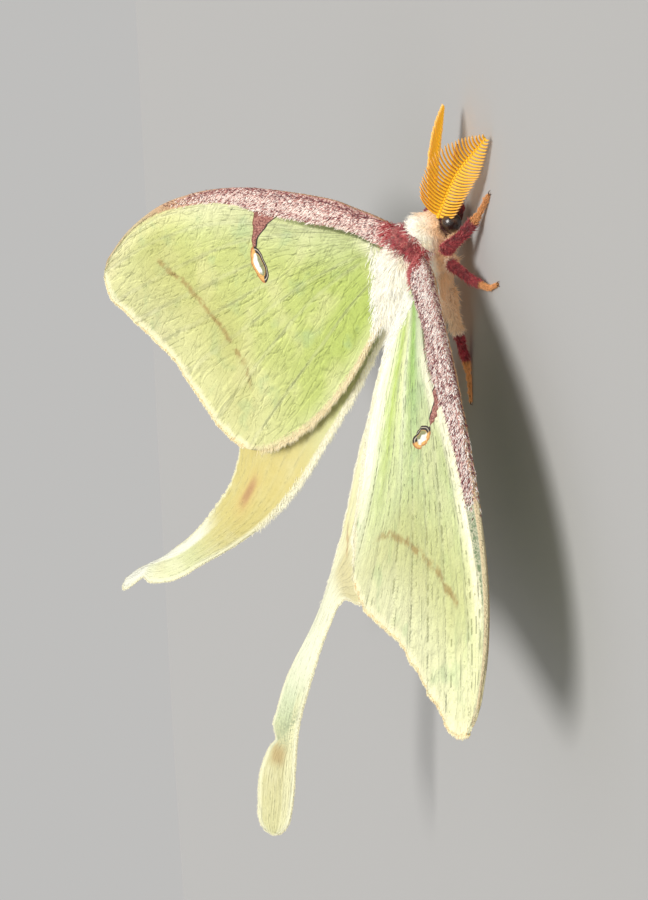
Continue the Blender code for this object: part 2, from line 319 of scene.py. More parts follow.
def abdomen_rings(at):
    """The swell of the abdomen's rings, each rising to a lip over the next."""
    share = (at - WAIST) / (TRUNK_BACK - WAIST) * ABDOMEN_RINGS
    return 0.16 * (share % 1.0) * eased(at, WAIST, WAIST + 1.5)


def foot_joints(share):
    """The swell of a foot's five joints."""
    foot = (share - FOOT_FROM) / (1 - FOOT_FROM)
    return 1.0 + 0.16 * np.cos(foot * 5 * 2 * np.pi) * (foot > 0)


def mirrored(joints, side):
    return [((side * x, y, z), radius) for (x, y, z), radius in joints]


SIDES = {"left": 1.0, "right": -1.0}
forms = [lofted(TRUNK, 90, 48, abdomen_rings), lofted(HEAD, 20, 32)]
for side in SIDES.values():
    for joints in LEGS.values():
        forms.append(limb(mirrored(joints, side), 70, 14, foot_joints))
skin = turned_outwards(add_mesh("body_skin", *joined(forms)))
remesh = skin.modifiers.new("one skin", "REMESH")
remesh.mode = "VOXEL"
remesh.voxel_size = SKIN_VOXEL * MM
remesh.use_smooth_shade = True
soften = skin.modifiers.new("soften", "SMOOTH")
soften.factor = 0.5
soften.iterations = 4
settle(skin)
skin_points = places(skin.data)
skin_points[:, 2] = np.maximum(skin_points[:, 2], 0.02)
skin.data.vertices.foreach_set("co", placed(skin_points).ravel())
skin.data.update()
skin_normals = outward(skin.data)


def along_limb(points, joints):
    """For each point: how far it is from a limb's middle, in the limb's radii, the share of the limb's
    length there, the limb's direction there and the turn round it."""
    share, middle, radius, forward = course(joints, LIMB_STEPS)
    gaps = np.linalg.norm(points[:, None, :] - middle[None], axis=2)
    nearest = gaps.argmin(axis=1)
    reach = gaps[np.arange(len(points)), nearest] / radius[nearest]
    off = points - middle[nearest]
    level = unit(np.cross(forward[nearest], (0.0, 0.0, 1.0)))
    upward = np.cross(level, forward[nearest])
    turn = np.arctan2((off * level).sum(axis=1), (off * upward).sum(axis=1))
    return reach, share[nearest], forward[nearest], turn


def round_trunk(points, stations):
    """For each point: how far it is from a form's middle line, in the form's radii, and the turn round it."""
    height, half_width, half_height = flow(stations, points[:, 1]).T
    beyond = np.maximum(0.0, stations[0][0] - points[:, 1]) + np.maximum(0.0, points[:, 1] - stations[-1][0])
    sideways = points[:, 0] / half_width
    upwards = (points[:, 2] - height) / half_height
    return np.hypot(sideways, upwards) + beyond, np.arctan2(sideways, upwards)


x, y, z = skin_points.T
trunk_reach, trunk_turn = round_trunk(skin_points, TRUNK)
head_reach, _ = round_trunk(skin_points, HEAD)
on_head = eased(y, -3.3, -4.4)
body_reach = np.minimum(trunk_reach, head_reach)
legs = []
for number, (side, leg) in enumerate((side, leg) for side in SIDES.values() for leg in LEGS):
    reach, share, forward, turn = along_limb(skin_points, mirrored(LEGS[leg], side))
    strip = (number + 0.5 + turn / (2 * np.pi) * 0.9) / 6
    legs.append(np.column_stack([reach, np.full(len(reach), HIDDEN_SHARE[leg]), forward, strip, share]))
legs = np.array(legs)
nearest_leg = legs[legs[:, :, 0].argmin(axis=0), np.arange(len(skin_points))]
leg_reach, leg_bare = nearest_leg[:, :2].T
leg_forward, leg_place, leg_share = nearest_leg[:, 2:5], nearest_leg[:, 5:], nearest_leg[:, 6]
on_leg = eased(body_reach - leg_reach, -0.15, 0.35)
on_foot = on_leg * eased(leg_share, FOOT_FROM - 0.05, FOOT_FROM + 0.05)

# Markings that skin and coat share: a maroon band from wing root to wing root over the front of the
# thorax, maroon legs with rusty feet, and painted shade: a face and throat painted almost black, and warm
# cream painted where the fur lies in shade below.
band_front = -3.15 + 0.027 * np.abs(x) ** 3
band_back = band_front + 1.75
on_band = eased(y, band_front - 0.12, band_front + 0.12) * eased(y, band_back + 0.2, band_back - 0.2)
band_low = np.where(x < 0, 5.6, 4.8)  # the collar's lower side hides more of the band on the right
on_band = on_band * eased(z, band_low, band_low + 0.6) * (1 - on_head)
# Painted shade: the underside of the head and the throat are painted almost black, where they lie in shade.
face = on_head * eased(z, 4.1, 3.7)
face = np.maximum(face, (1 - on_head) * eased(y, -1.7, -2.3) * eased(z, 3.9, 3.5)) * (1 - on_leg)
on_shank = on_leg * eased(leg_share - leg_bare, -0.04, 0.04)
maroon = np.clip(on_band + on_shank * (1 - on_foot), 0, 1)
# Painted shade: warm cream low on the body, on the collar's lower side and on skin that faces down, less on
# the abdomen.
warm = eased(z, 5.7, 3.5) * 0.85 + eased(y, -0.6, -1.4) * eased(z, 6.2, 5.0) * 0.45
warm = warm * (1 - 0.65 * eased(y, WAIST - 1.5, WAIST + 1.0))
warm = np.clip(warm + eased(skin_normals[:, 2], -0.1, -0.7) * 0.4, 0, 1) * (1 - on_shank)
paint(skin.data, maroon=maroon, warm=warm, foot=on_foot, face=face)


def sum_node(operation, swapped=False):
    """An operator between a socket and another term, which adds one Math node."""

    def combine(self, other):
        return self.maths(operation, *((other, self) if swapped else (self, other)))

    return combine


class Amount:
    """A socket in a sum: arithmetic on it adds Math nodes to its recipe."""

    def __init__(self, recipe, socket):
        self.recipe = recipe
        self.socket = socket

    def maths(self, operation, *terms):
        return self.recipe.node("ShaderNodeMath", {"operation": operation}, dict(enumerate(terms)))

    __add__, __radd__ = sum_node("ADD"), sum_node("ADD", swapped=True)
    __sub__, __rsub__ = sum_node("SUBTRACT"), sum_node("SUBTRACT", swapped=True)
    __mul__, __rmul__ = sum_node("MULTIPLY"), sum_node("MULTIPLY", swapped=True)
    __truediv__, __pow__ = sum_node("DIVIDE"), sum_node("POWER")
    at_most, at_least = sum_node("MINIMUM"), sum_node("MAXIMUM")

    def __abs__(self):
        return self.maths("ABSOLUTE", self)

    def near(self, place, reach, core):
        """1 within core of a place, and a smooth fall to 0 at reach from it."""
        return abs(self - place).rising(reach, core)

    def nearest_whole(self):
        return self.maths("ROUND", self)

    def wave(self):
        return self.maths("SINE", self)

    def rising(self, low, high):
        """0 below low, 1 above high, and a smooth rise between. It falls where high is below low."""
        settings = {"interpolation_type": "SMOOTHSTEP"}
        return self.recipe.node("ShaderNodeMapRange", settings, {0: self, 1: low, 2: high})


class Recipe:
    """A node tree, and the one way that nodes are added to it."""

    def __init__(self, tree):
        self.tree = tree
        tree.nodes.clear()

    def node(self, kind, settings=None, inputs=None, output=0):
        node = self.tree.nodes.new(kind)
        for name, value in (settings or {}).items():
            if name == "stops":
                ramp = node.color_ramp
                for extra in value[2:]:
                    ramp.elements.new(extra[0])
                for element, (place, colour) in zip(ramp.elements, sorted(value)):
                    element.position = place
                    element.color = (*colour, 1.0)
            else:
                setattr(node, name, value)
        for key, value in (inputs or {}).items():
            if isinstance(value, Amount):
                self.tree.links.new(value.socket, node.inputs[key])
            else:
                node.inputs[key].default_value = value
        return Amount(self, node.outputs[output]) if len(node.outputs) else node

    def kept(self, name, output=2):
        """A value kept at the piece's points: 2 for a number, 1 for a direction."""
        return self.node("ShaderNodeAttribute", {"attribute_name": name}, output=output)

    def kept_numbers(self, *names):
        return [self.kept(name) for name in names]

    def blend(self, factor, first, second):
        first = first if isinstance(first, Amount) else (*first, 1.0)
        second = second if isinstance(second, Amount) else (*second, 1.0)
        return self.node("ShaderNodeMix", {"data_type": "RGBA"}, {0: factor, 6: first, 7: second}, output=2)

    def layered(self, tone, *layers):
        """A colour with others laid over it in turn, each as (how much of it shows, colour)."""
        for factor, colour in layers:
            tone = self.blend(factor, tone, colour)
        return tone

    def scaled(self, vector, amount):
        """A direction made longer or shorter, or a colour lighter or darker, by an amount round 1."""
        return self.node("ShaderNodeVectorMath", {"operation": "SCALE"}, {0: vector, 3: amount})

    def parts(self, vector):
        """The three numbers in a direction."""
        first = self.node("ShaderNodeSeparateXYZ", inputs={0: vector})
        return [Amount(self, output) for output in first.socket.node.outputs]

    def spread(self, *numbers):
        """A place in a pattern, from its one, two or three numbers."""
        return self.node("ShaderNodeCombineXYZ", inputs=dict(enumerate(numbers)))

    def noise(self, place, **settings):
        """Cloudy noise from 0 to 1, in waves one unit of place long."""
        return self.node("ShaderNodeTexNoise", inputs={"Vector": place, "Scale": 1.0, **settings})

    def on_piece(self):
        return self.node("ShaderNodeTexCoord", output=3)

    def grain(self, size, detail=2.0):
        """Cloudy noise whose blotches are size millimetres across, from 0 to 1."""
        return self.noise(self.on_piece(), Scale=1 / (size * MM), Detail=detail)

    def nap(self, strength, depth, height):
        """A surface's small relief, depth millimetres where height is 1."""
        inputs = {"Strength": strength, "Distance": depth * MM, "Height": height}
        return self.node("ShaderNodeBump", inputs=inputs)

    def surface(self, tone, roughness, glow=0.0, **inputs):
        """The shader's own sockets. Some of them have spaces in their names, given here as underlines."""
        inputs = {name.replace("_", " "): value for name, value in inputs.items()}
        inputs.update({"Base Color": tone, "Roughness": roughness})
        if glow:
            inputs.update({"Emission Color": tone, "Emission Strength": glow})
        shader = self.node("ShaderNodeBsdfPrincipled", inputs=inputs)
        self.node("ShaderNodeOutputMaterial", inputs={"Surface": shader})


def new_material(name):
    material = bpy.data.materials.new(name)
    material.use_nodes = True
    return material, Recipe(material.node_tree)


FUR_GLOW = 0.20  # stands in for the light that passes through fine hair
WHITE_FUR = (0.98, 0.95, 0.82)
WHITE_TIP = (0.98, 0.97, 0.93)
CREAMY_FUR = (0.95, 0.83, 0.52)
SHADED_FUR = (0.80, 0.52, 0.29)
MAROON_FUR = (0.33, 0.02, 0.035)
PINK_TIP = (0.64, 0.19, 0.18)
PEACH_TIP = (0.86, 0.56, 0.40)
FOOT_TAN = (0.70, 0.31, 0.10)
FOOT_TIP = (0.90, 0.55, 0.28)
SHADE_FACE_FUR = (0.085, 0.018, 0.016)
SKIN_BROWN = (0.30, 0.18, 0.10)


def darker(colour, share):
    return tuple(share * part for part in colour)


skin_material, recipe = new_material("skin")
tone = recipe.layered(
    WHITE_FUR,
    # warm cream painted as shade below
    (recipe.kept("warm"), SHADED_FUR),
    (recipe.kept("maroon"), darker(MAROON_FUR, 0.6)),
    (recipe.kept("foot").rising(0.1, 0.4), darker(FOOT_TAN, 0.7)),
    # the face and throat darkened as painted shade
    (recipe.kept("face"), darker(SHADE_FACE_FUR, 0.6)),
    (recipe.grain(0.12).rising(0.35, 0.75) * 0.35, SKIN_BROWN),
)
recipe.surface(tone, 0.85, Normal=recipe.nap(0.5, 0.05, recipe.grain(0.08)))
skin.data.materials.clear()
skin.data.materials.append(skin_material)
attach(skin, "root")
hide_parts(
    "head", "thorax", "abdomen", *(f"leg_{leg}_{side}" for leg in LEGS for side in SIDES)
)

# ---- Fur on the body ---------------------------------------------------------
# Long silky white hair on the thorax, a smooth white collar, a curly maroon band, short hair on head, legs
# and abdomen. Each hair is a thin closed blade, grown from the skin along the lie of the coat.

PATCH = 0.003  # size of one hair's patch on the coat's map
ABOVE_FLOOR = (-1.0, -1.0, 0.00002)  # the least that a hair's points may be, in metres


def hair_blade(rings):
    """One straight three-sided hair, as its measures only: how far along and round it each point is."""
    level, corner = np.divmod(np.arange(rings * 3), 3)
    along = np.append(level / rings, 1.0)
    turn = corner * 2 * np.pi / 3
    ring = np.column_stack([np.append(np.cos(turn), 0.0), np.append(np.sin(turn), 0.0), np.zeros(len(along))])
    leaf = np.column_stack([np.append(corner / 3, 0.5), along, np.zeros(len(along))])
    faces = [(2, 1, 0)]
    for r in range(rings):
        for k in range(3):
            a, b = r * 3 + k, r * 3 + (k + 1) % 3
            faces.append((a, b, b + 3, a + 3) if r < rings - 1 else (a, b, rings * 3))
    mesh = bpy.data.meshes.new(f"blade_{rings}")
    mesh.from_pydata(np.column_stack([along, ring[:, :2] * 0.1]).tolist(), [], faces)
    mesh.shade_smooth()
    paint(mesh, along=along, ring=ring, leaf=leaf)
    return add_object(mesh.name, mesh)


coat_tree = bpy.data.node_groups.new("coat", "GeometryNodeTree")
COAT_SHAPE = dict(Width=0.045, Rise=0.5, Droop=0.3, Frizz=0.05, Spread=0.3, Unevenness=0.3, Taper=0.85)
COAT_INPUTS = {
    "Surface": "Geometry", "Blade": "Object", "Finish": "Material", "Scatter": "Bool", "Density": "Float",
    "Seed": "Int", **dict.fromkeys(COAT_SHAPE, "Float"),
}
coat_sockets = {
    label: coat_tree.interface.new_socket(label, in_out="INPUT", socket_type="NodeSocket" + kind).identifier
    for label, kind in COAT_INPUTS.items()
}
coat_tree.interface.new_socket("Coat", in_out="OUTPUT", socket_type="NodeSocketGeometry")
grow = Recipe(coat_tree)
given = {label: grow.node("NodeGroupInput", output=number) for number, label in enumerate(COAT_INPUTS)}


def named(name, kind="FLOAT_VECTOR"):
    return grow.node("GeometryNodeInputNamedAttribute", {"data_type": kind}, {"Name": name})


def vectors(operation, *terms):
    return grow.node("ShaderNodeVectorMath", {"operation": operation}, dict(enumerate(terms)))


def keep(geometry, name, value, kind="FLOAT_VECTOR", domain="POINT"):
    return grow.node(
        "GeometryNodeStoreNamedAttribute", {"data_type": kind, "domain": domain},
        {"Geometry": geometry, "Name": name, "Value": value},
    )


density = given["Density"] * named("cover", "FLOAT")
scattered = grow.node(
    "GeometryNodeDistributePointsOnFaces", {"distribute_method": "RANDOM"},
    {"Mesh": given["Surface"], "Density": density, "Seed": given["Seed"]},
)
listed = grow.node("GeometryNodeMeshToPoints", {"mode": "VERTICES"}, {"Mesh": given["Surface"]})
roots = grow.node(
    "GeometryNodeSwitch", {"input_type": "GEOMETRY"},
    {"Switch": given["Scatter"], "False": listed, "True": scattered},
)
roots = keep(roots, "root", grow.node("GeometryNodeInputPosition"))
chance = grow.node(
    "FunctionNodeRandomValue", {"data_type": "FLOAT_VECTOR"},
    {"Min": (-1.0, -1.0, -1.0), "Max": (1.0, 1.0, 1.0), "Seed": given["Seed"]},
)
roots = keep(roots, "chance", chance)
blade = grow.node("GeometryNodeObjectInfo", inputs={"Object": given["Blade"]}, output=4)
hairs = grow.node("GeometryNodeInstanceOnPoints", inputs={"Points": roots, "Instance": blade})
hairs = grow.node("GeometryNodeRealizeInstances", inputs={"Geometry": hairs})

along = named("along", "FLOAT")
up = vectors("NORMALIZE", named("up"))
luck_x, luck_y, luck_z = grow.parts(named("chance"))
lie = named("lie")
side_way = vectors("NORMALIZE", vectors("CROSS_PRODUCT", up, lie))
lie = vectors("NORMALIZE", vectors("ADD", lie, grow.scaled(side_way, luck_x * given["Spread"])))
side_way = vectors("NORMALIZE", vectors("CROSS_PRODUCT", up, lie))
length = named("hair", "FLOAT") * (1.0 + luck_y * given["Unevenness"])
lift = given["Rise"] * (1.0 + 0.5 * luck_z) * along - given["Droop"] * along * along
wave = (along * 7.0 + luck_x * 40.0).wave() * along
curl = (along * 6.0 + luck_z * 40.0).wave() * along
line = vectors("ADD", grow.scaled(lie, along), grow.scaled(up, lift + curl * given["Frizz"]))
line = vectors("ADD", line, grow.scaled(side_way, wave * given["Frizz"]))
thickness = given["Width"] * (1.0 - given["Taper"] * along)
ring_side, ring_up = (
    grow.scaled(way, part * thickness) for way, part in zip((side_way, up), grow.parts(named("ring")))
)
spot = vectors("ADD", vectors("ADD", named("root"), grow.scaled(line, length)), ring_side)
spot = vectors("MAXIMUM", vectors("ADD", spot, ring_up), ABOVE_FLOOR)
hairs = grow.node("GeometryNodeSetPosition", inputs={"Geometry": hairs, "Position": spot})
patch = vectors("ADD", named("unwrap"), grow.scaled(named("leaf"), PATCH))
hairs = keep(hairs, "OFBake", patch, kind="FLOAT2", domain="CORNER")
hairs = grow.node("GeometryNodeSetMaterial", inputs={"Geometry": hairs, "Material": given["Finish"]})
grow.node("NodeGroupOutput", inputs={0: hairs})

blades = {rings: hair_blade(rings) for rings in (2, 3, 10)}


def grown(obj, blade, finish, **shape):
    """An object turned into its coat: one blade at each of its points, or blades scattered on its faces."""
    growth = obj.modifiers.new("growth", "NODES")
    growth.node_group = coat_tree
    values = {"Blade": blades[blade], "Finish": finish, **COAT_SHAPE, **shape}
    values["Width"] *= MM
    for label, value in values.items():
        growth[coat_sockets[label]] = value
    return settle(obj)


def spread_out(unwrap, cover):
    """An unwrap's covered part, stretched over the whole of the coat's map."""
    used = unwrap[cover > 0.01]
    low, high = used.min(axis=0), used.max(axis=0)
    share = np.clip((unwrap - low) / np.maximum(high - low, 1e-6), 0.0, 1.0)
    return np.column_stack([0.01 + share * (0.98 - PATCH), np.zeros(len(share))])


def coat(name, surface, cover, count, material, seed, unwrap, blade, **shape):
    """One piece of fur, of about count hairs, scattered on a surface as thickly as cover says."""
    mesh = surface.data.copy()
    paint(mesh, cover=cover, unwrap=spread_out(unwrap, cover))
    corners = read(mesh.loops, "vertex_index", kind=np.int32)
    starts = read(mesh.polygons, "loop_start", kind=np.int32)
    sizes = np.diff(np.append(starts, len(corners)))
    covered = (np.add.reduceat(cover[corners], starts) / sizes * read(mesh.polygons, "area")).sum()
    obj = add_object(name, mesh)
    grown(obj, blade, material, Scatter=True, Density=count / covered, Seed=seed, **shape)
    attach(obj, "root")
    return obj


# Fur reads its markings and its painted shade where each hair is rooted. It is darker at the root and paler
# at the tip.
body_fur, recipe = new_material("body_fur")
along, painted_shade_amount = recipe.kept("along"), recipe.kept("warm")
luck = recipe.parts(recipe.kept("chance", output=1))[0]
is_maroon = recipe.kept("maroon").rising(0.3, 0.7)
is_foot = recipe.kept("foot").rising(0.1, 0.4)
clump = recipe.grain(0.7).rising(0.35, 0.65)
pale = recipe.layered(
    WHITE_TIP,
    (is_maroon, PINK_TIP),
    (is_maroon * luck.rising(0.3, 0.5) * 0.7, PEACH_TIP),
    (is_foot, FOOT_TIP),
)
tone = recipe.layered(
    WHITE_FUR,
    (recipe.grain(2.2).rising(0.48, 0.68) * 0.45, CREAMY_FUR),
    # warm cream painted as shade below
    (painted_shade_amount, SHADED_FUR),
    (is_maroon, MAROON_FUR),
    (is_foot, FOOT_TAN),
    (along.rising(0.45, 1.0) * (1.0 - painted_shade_amount * 0.7) * 0.6, pale),
    # the face and throat painted almost black as shade
    (recipe.kept("face").rising(0.3, 0.7), SHADE_FACE_FUR),
)
shade = 1.0 - 0.25 * (1.0 - along.rising(0.0, 0.6)) - is_maroon * (0.35 - clump * 0.45)
shade = shade + 0.15 * luck * recipe.kept("maroon") + 0.05 * luck - 0.10 * (1.0 - clump)
recipe.surface(recipe.scaled(tone, shade), 0.75, FUR_GLOW, Sheen_Weight=0.15, Sheen_Roughness=0.5)


def waves(points, size, seed):
    """Smooth unevenness from -1 to 1 at points, in waves about size millimetres long."""
    rng = np.random.default_rng(seed)
    total = np.zeros(len(points))
    for _ in range(5):
        way = unit(rng.normal(size=3))
        total += np.sin(points @ way * (2 * np.pi / size) * rng.uniform(0.6, 1.5) + rng.uniform(0, 7))
    return total / 2.5


# The lie of the coat: backwards on the body, down the legs, and up and over on the head.
aside = np.sign(x)
same = np.ones(len(x))
lie_body = np.stack([0.25 * aside * eased(np.abs(x), 0.0, 3.0), same, same * -0.15], 1)
lie_head = np.stack([0.5 * aside * eased(np.abs(x), 0.3, 1.5), same * -0.2, same * 0.6], 1)
lie = lie_body * (1 - on_head)[:, None] + lie_head * on_head[:, None]
lie = lie * (1 - on_leg)[:, None] + leg_forward * on_leg[:, None]
swirl = np.stack([waves(skin_points, 2.4, seed) for seed in (1, 2, 3)], axis=1)
lie = lie + 0.38 * swirl * (1 - on_leg)[:, None]
lie = unit(lie - skin_normals * (lie * skin_normals).sum(axis=1)[:, None])

on_abdomen = eased(y, WAIST - 0.6, WAIST + 0.6)
on_collar = eased(y, band_front + 0.12, band_front - 0.12)
beside_band = eased(y, 1.6, 0.6) * eased(z, band_low + 0.7, band_low) * eased(z, 2.6, 3.4)
on_collar = np.maximum(on_collar, beside_band) * (1 - on_head)
on_thorax = (1 - on_head) * (1 - on_abdomen) * (1 - on_leg)
on_belly = on_thorax * eased(z, 4.4, 3.0) * (1 - on_collar)
on_back = on_thorax * (1 - on_belly) * (1 - on_band) * (1 - on_collar)
body_unwrap = np.stack([0.5 + trunk_turn / (2 * np.pi), (y + 7.0) / 37.0], axis=1)

# The length of the hair in millimetres, where each part's coat lies.
hair_length = 2.4 * on_back + 0.8 * on_collar + 1.15 * on_band * (1 - on_collar)
hair_length = (hair_length + 1.6 * on_belly + 0.95 * on_abdomen + 0.6 * on_head) * (1 - 0.5 * face)
leg_hair = 0.8 - 0.24 * eased(leg_share - leg_bare, -0.06, 0.06) - 0.32 * on_foot
hair_length = hair_length * (1 - on_leg) + leg_hair * on_leg
hair_length = hair_length * (1.0 + 0.25 * waves(skin_points, 1.7, 4))
paint(skin.data, up=skin_normals, lie=lie, hair=np.maximum(hair_length, 0.12) * MM)

# Each coat: where it lies, how many hairs it has, their rings and their shape.
BACK_HAIR = dict(Width=0.07, Rise=0.62, Droop=0.35, Frizz=0.06)
BODY_COATS = {
    "thorax_left": (on_back * (x >= 0), 6000, 3, BACK_HAIR),
    "thorax_right": (on_back * (x < 0), 6000, 3, BACK_HAIR),
    "collar": (on_collar * (1 - on_band), 15000, 2, dict(Width=0.06, Rise=0.6, Droop=0.35, Spread=0.2)),
    "band": (on_band, 6000, 3, dict(Width=0.09, Rise=0.75, Droop=0.4, Frizz=0.3, Spread=0.9)),
    "belly": (on_belly * (1 - on_collar), 9000, 2, dict(Width=0.07, Rise=0.45, Droop=0.25)),
    "abdomen": (on_abdomen * (1 - on_leg), 10000, 2, dict(Width=0.08, Rise=0.45, Droop=0.2)),
    "head": (on_head * (1 - on_leg), 6000, 2, dict(Width=0.06, Rise=0.6, Spread=0.5)),
    "legs": (on_leg * (0.75 + 0.25 * on_foot), 13000, 2, dict(Width=0.07, Rise=0.75, Droop=0.2, Spread=0.8)),
}
for seed, (part, (cover, count, rings, shape)) in enumerate(BODY_COATS.items()):
    unwrap = leg_place if part == "legs" else body_unwrap
    piece = coat(f"coat_{part}", skin, cover, count, body_fur, seed + 11, unwrap, rings, **shape)
    "leg_fur" if part == "legs" else "body_fur"

# ---- Eyes, palps and claws -----------------------------------------------------
# Each eye is a dark glossy dome of hundreds of tiny facets. Two short furred palps stand under the face, and
# every foot ends in a pair of dark horny hooks.

EYE_DETAIL = 5
EYE_SWELL = 1.1
EYE_SET = (0.2, 0.4, 0.25)  # how far the dome bulges out, back and up from its socket
FACET = 0.075
eye_material, recipe = new_material("eye_lens")
facets = recipe.node(
    "ShaderNodeTexVoronoi", {"feature": "DISTANCE_TO_EDGE"},
    {"Vector": recipe.on_piece(), "Scale": 1 / (FACET * MM)},
)
tone = recipe.layered(
    (0.018, 0.010, 0.008),
    (recipe.grain(0.9).rising(0.4, 0.65), (0.075, 0.035, 0.018)),
    (facets.rising(0.10, 0.0) * 0.5, (0.004, 0.003, 0.003)),
)
domes = recipe.nap(0.35, 0.01, facets.rising(0.0, 0.25))
recipe.surface(tone, 0.22, Coat_Weight=0.5, Coat_Roughness=0.08, Normal=domes)

for side_name, side in SIDES.items():
    low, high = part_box(f"eye_{side_name}")
    bm = bmesh.new()
    bmesh.ops.create_icosphere(bm, subdivisions=EYE_DETAIL, radius=(high.x - low.x) / 2 * EYE_SWELL)
    nudge = Vector((EYE_SET[0] * side, *EYE_SET[1:])) * MM
    bmesh.ops.translate(bm, verts=bm.verts, vec=(low + high) / 2 + nudge)
    eye_mesh = bpy.data.meshes.new(f"eye_dome_{side_name}")
    bm.to_mesh(eye_mesh)
    bm.free()
    eye_mesh.shade_smooth()
    eye_mesh.materials.append(eye_material)
    eye = add_object(eye_mesh.name, eye_mesh)
    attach(eye, "root")
    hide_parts(f"eye_{side_name}")

horn_material, recipe = new_material("claw_horn")
horn_cloud = recipe.grain(0.15).rising(0.3, 0.7)
recipe.surface(recipe.blend(horn_cloud, (0.035, 0.015, 0.008), (0.12, 0.05, 0.02)), 0.3)
CLAW_REACH = 0.55
# A claw at shares of its length: how high it is there, and its radius.
CLAW = ((0.0, 0.0, 0.075), (0.45, 0.07, 0.06), (0.85, 0.0, 0.035), (1.0, -0.12, 0.012))
claw_forms = []
for side in SIDES.values():
    for joints in LEGS.values():
        tip = np.array(joints[-1][0]) * (side, 1, 1)
        ahead = unit(tip - np.array(joints[-2][0]) * (side, 1, 1))
        level = unit(np.cross(ahead, (0, 0, 1.0)))
        for way in (-1, 1):
            bend = unit(ahead + level * way * 0.7) * CLAW_REACH
            start = tip + ahead * 0.05
            hook = [(start + bend * share + (0, 0, height), radius) for share, height, radius in CLAW]
            claw_forms.append(limb(hook, 10, 8))
claws = turned_outwards(add_mesh("claws", *joined(claw_forms)))
claws.data.materials.append(horn_material)
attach(claws, "root")

PALP = (
    ((0.6, -5.2, 1.7), 0.30), ((0.65, -5.6, 1.35), 0.30), ((0.7, -5.95, 1.15), 0.22),
    ((0.75, -6.2, 1.15), 0.10),
)
PALP_LIE = np.array([0.0, -1.0, 0.15])
palp_forms = [limb(mirrored(PALP, side), 16, 12) for side in SIDES.values()]
palps = turned_outwards(add_mesh("palps", *joined(palp_forms)))
palp_points = places(palps.data)
palp_normals = outward(palps.data)
every = np.ones(len(palp_points))
# The palps are half darkened with the face's painted shade.
paint(
    palps.data, maroon=every, warm=every * 0.0, foot=every * 0.0, face=every * 0.5, hair=every * 0.32 * MM,
    up=palp_normals, lie=unit(PALP_LIE - palp_normals * (palp_normals @ PALP_LIE)[:, None]),
)
palps.data.materials.append(skin_material)
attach(palps, "root")
palp_turn = np.arctan2(palp_normals[:, 0], palp_normals[:, 2]) / (2 * np.pi)
palp_place = np.stack([0.5 * (palp_points[:, 0] > 0) + 0.25 + palp_turn * 0.45, palp_points[:, 1]], axis=1)
PALP_HAIR = dict(Width=0.035, Rise=0.4, Droop=0.2, Spread=0.4)
palp_coat = coat("coat_palps", palps, every, 1500, body_fur, 31, palp_place, 2, **PALP_HAIR)

# ---- Antennae ------------------------------------------------------------------
# A male's feathered antennae: a tapering jointed shaft with a row of fine curved branches along each side,
# longest below the middle, all bowed towards the tip.

ANTENNA_LINE = {
    "left": ((0.0, (1.4, -5.2, 4.2)), (0.5, (3.4, -10.6, 3.75)), (1.0, (6.0, -16.0, 2.75))),
    "right": ((0.0, (-1.4, -5.2, 4.2)), (0.5, (-3.9, -11.2, 3.15)), (1.0, (-6.5, -16.5, 0.8))),
}
ANTENNA_ACROSS = {"left": (-0.84, -0.36, 0.41), "right": (0.40, -0.46, 0.79)}
# How far the branches of the high and the low row reach, at shares of the shaft's length.
COMBS = {
    1: ((0.0, 0.7), (0.06, 2.2), (0.3, 3.45), (0.6, 3.2), (0.85, 1.7), (1.0, 0.45)),
    -1: ((0.0, 0.5), (0.06, 1.4), (0.3, 2.5), (0.6, 2.4), (0.85, 1.3), (1.0, 0.4)),
}
BRANCHES = 27
BRANCH_SHAPE = dict(Width=0.23, Rise=0.0, Droop=-0.62, Frizz=0.0, Spread=0.02, Unevenness=0.03, Taper=0.2)
SHAFT_THICKNESS = ((0.0, 0.26), (0.1, 0.2), (0.6, 0.15), (1.0, 0.06))
TROUGH = {"left": 0.08, "right": 0.28}  # how far the branches lean up from the plane of the comb
# The antennae glow: painted light for the light shining through the combs, stronger on the left.
ANTENNA_GLOW = {"left": 0.42, "right": 0.12}  # the left one has the light behind it
GOLD = (0.94, 0.52, 0.012)
OLD_GOLD = (0.92, 0.46, 0.02)
PEACH = (0.92, 0.56, 0.30)
AMBER = (0.58, 0.22, 0.01)


def shaft_joints_swell(share):
    """The swell of a shaft's joints, one for each pair of branches."""
    return 1 + 0.12 * np.cos(share * BRANCHES * 2 * np.pi)


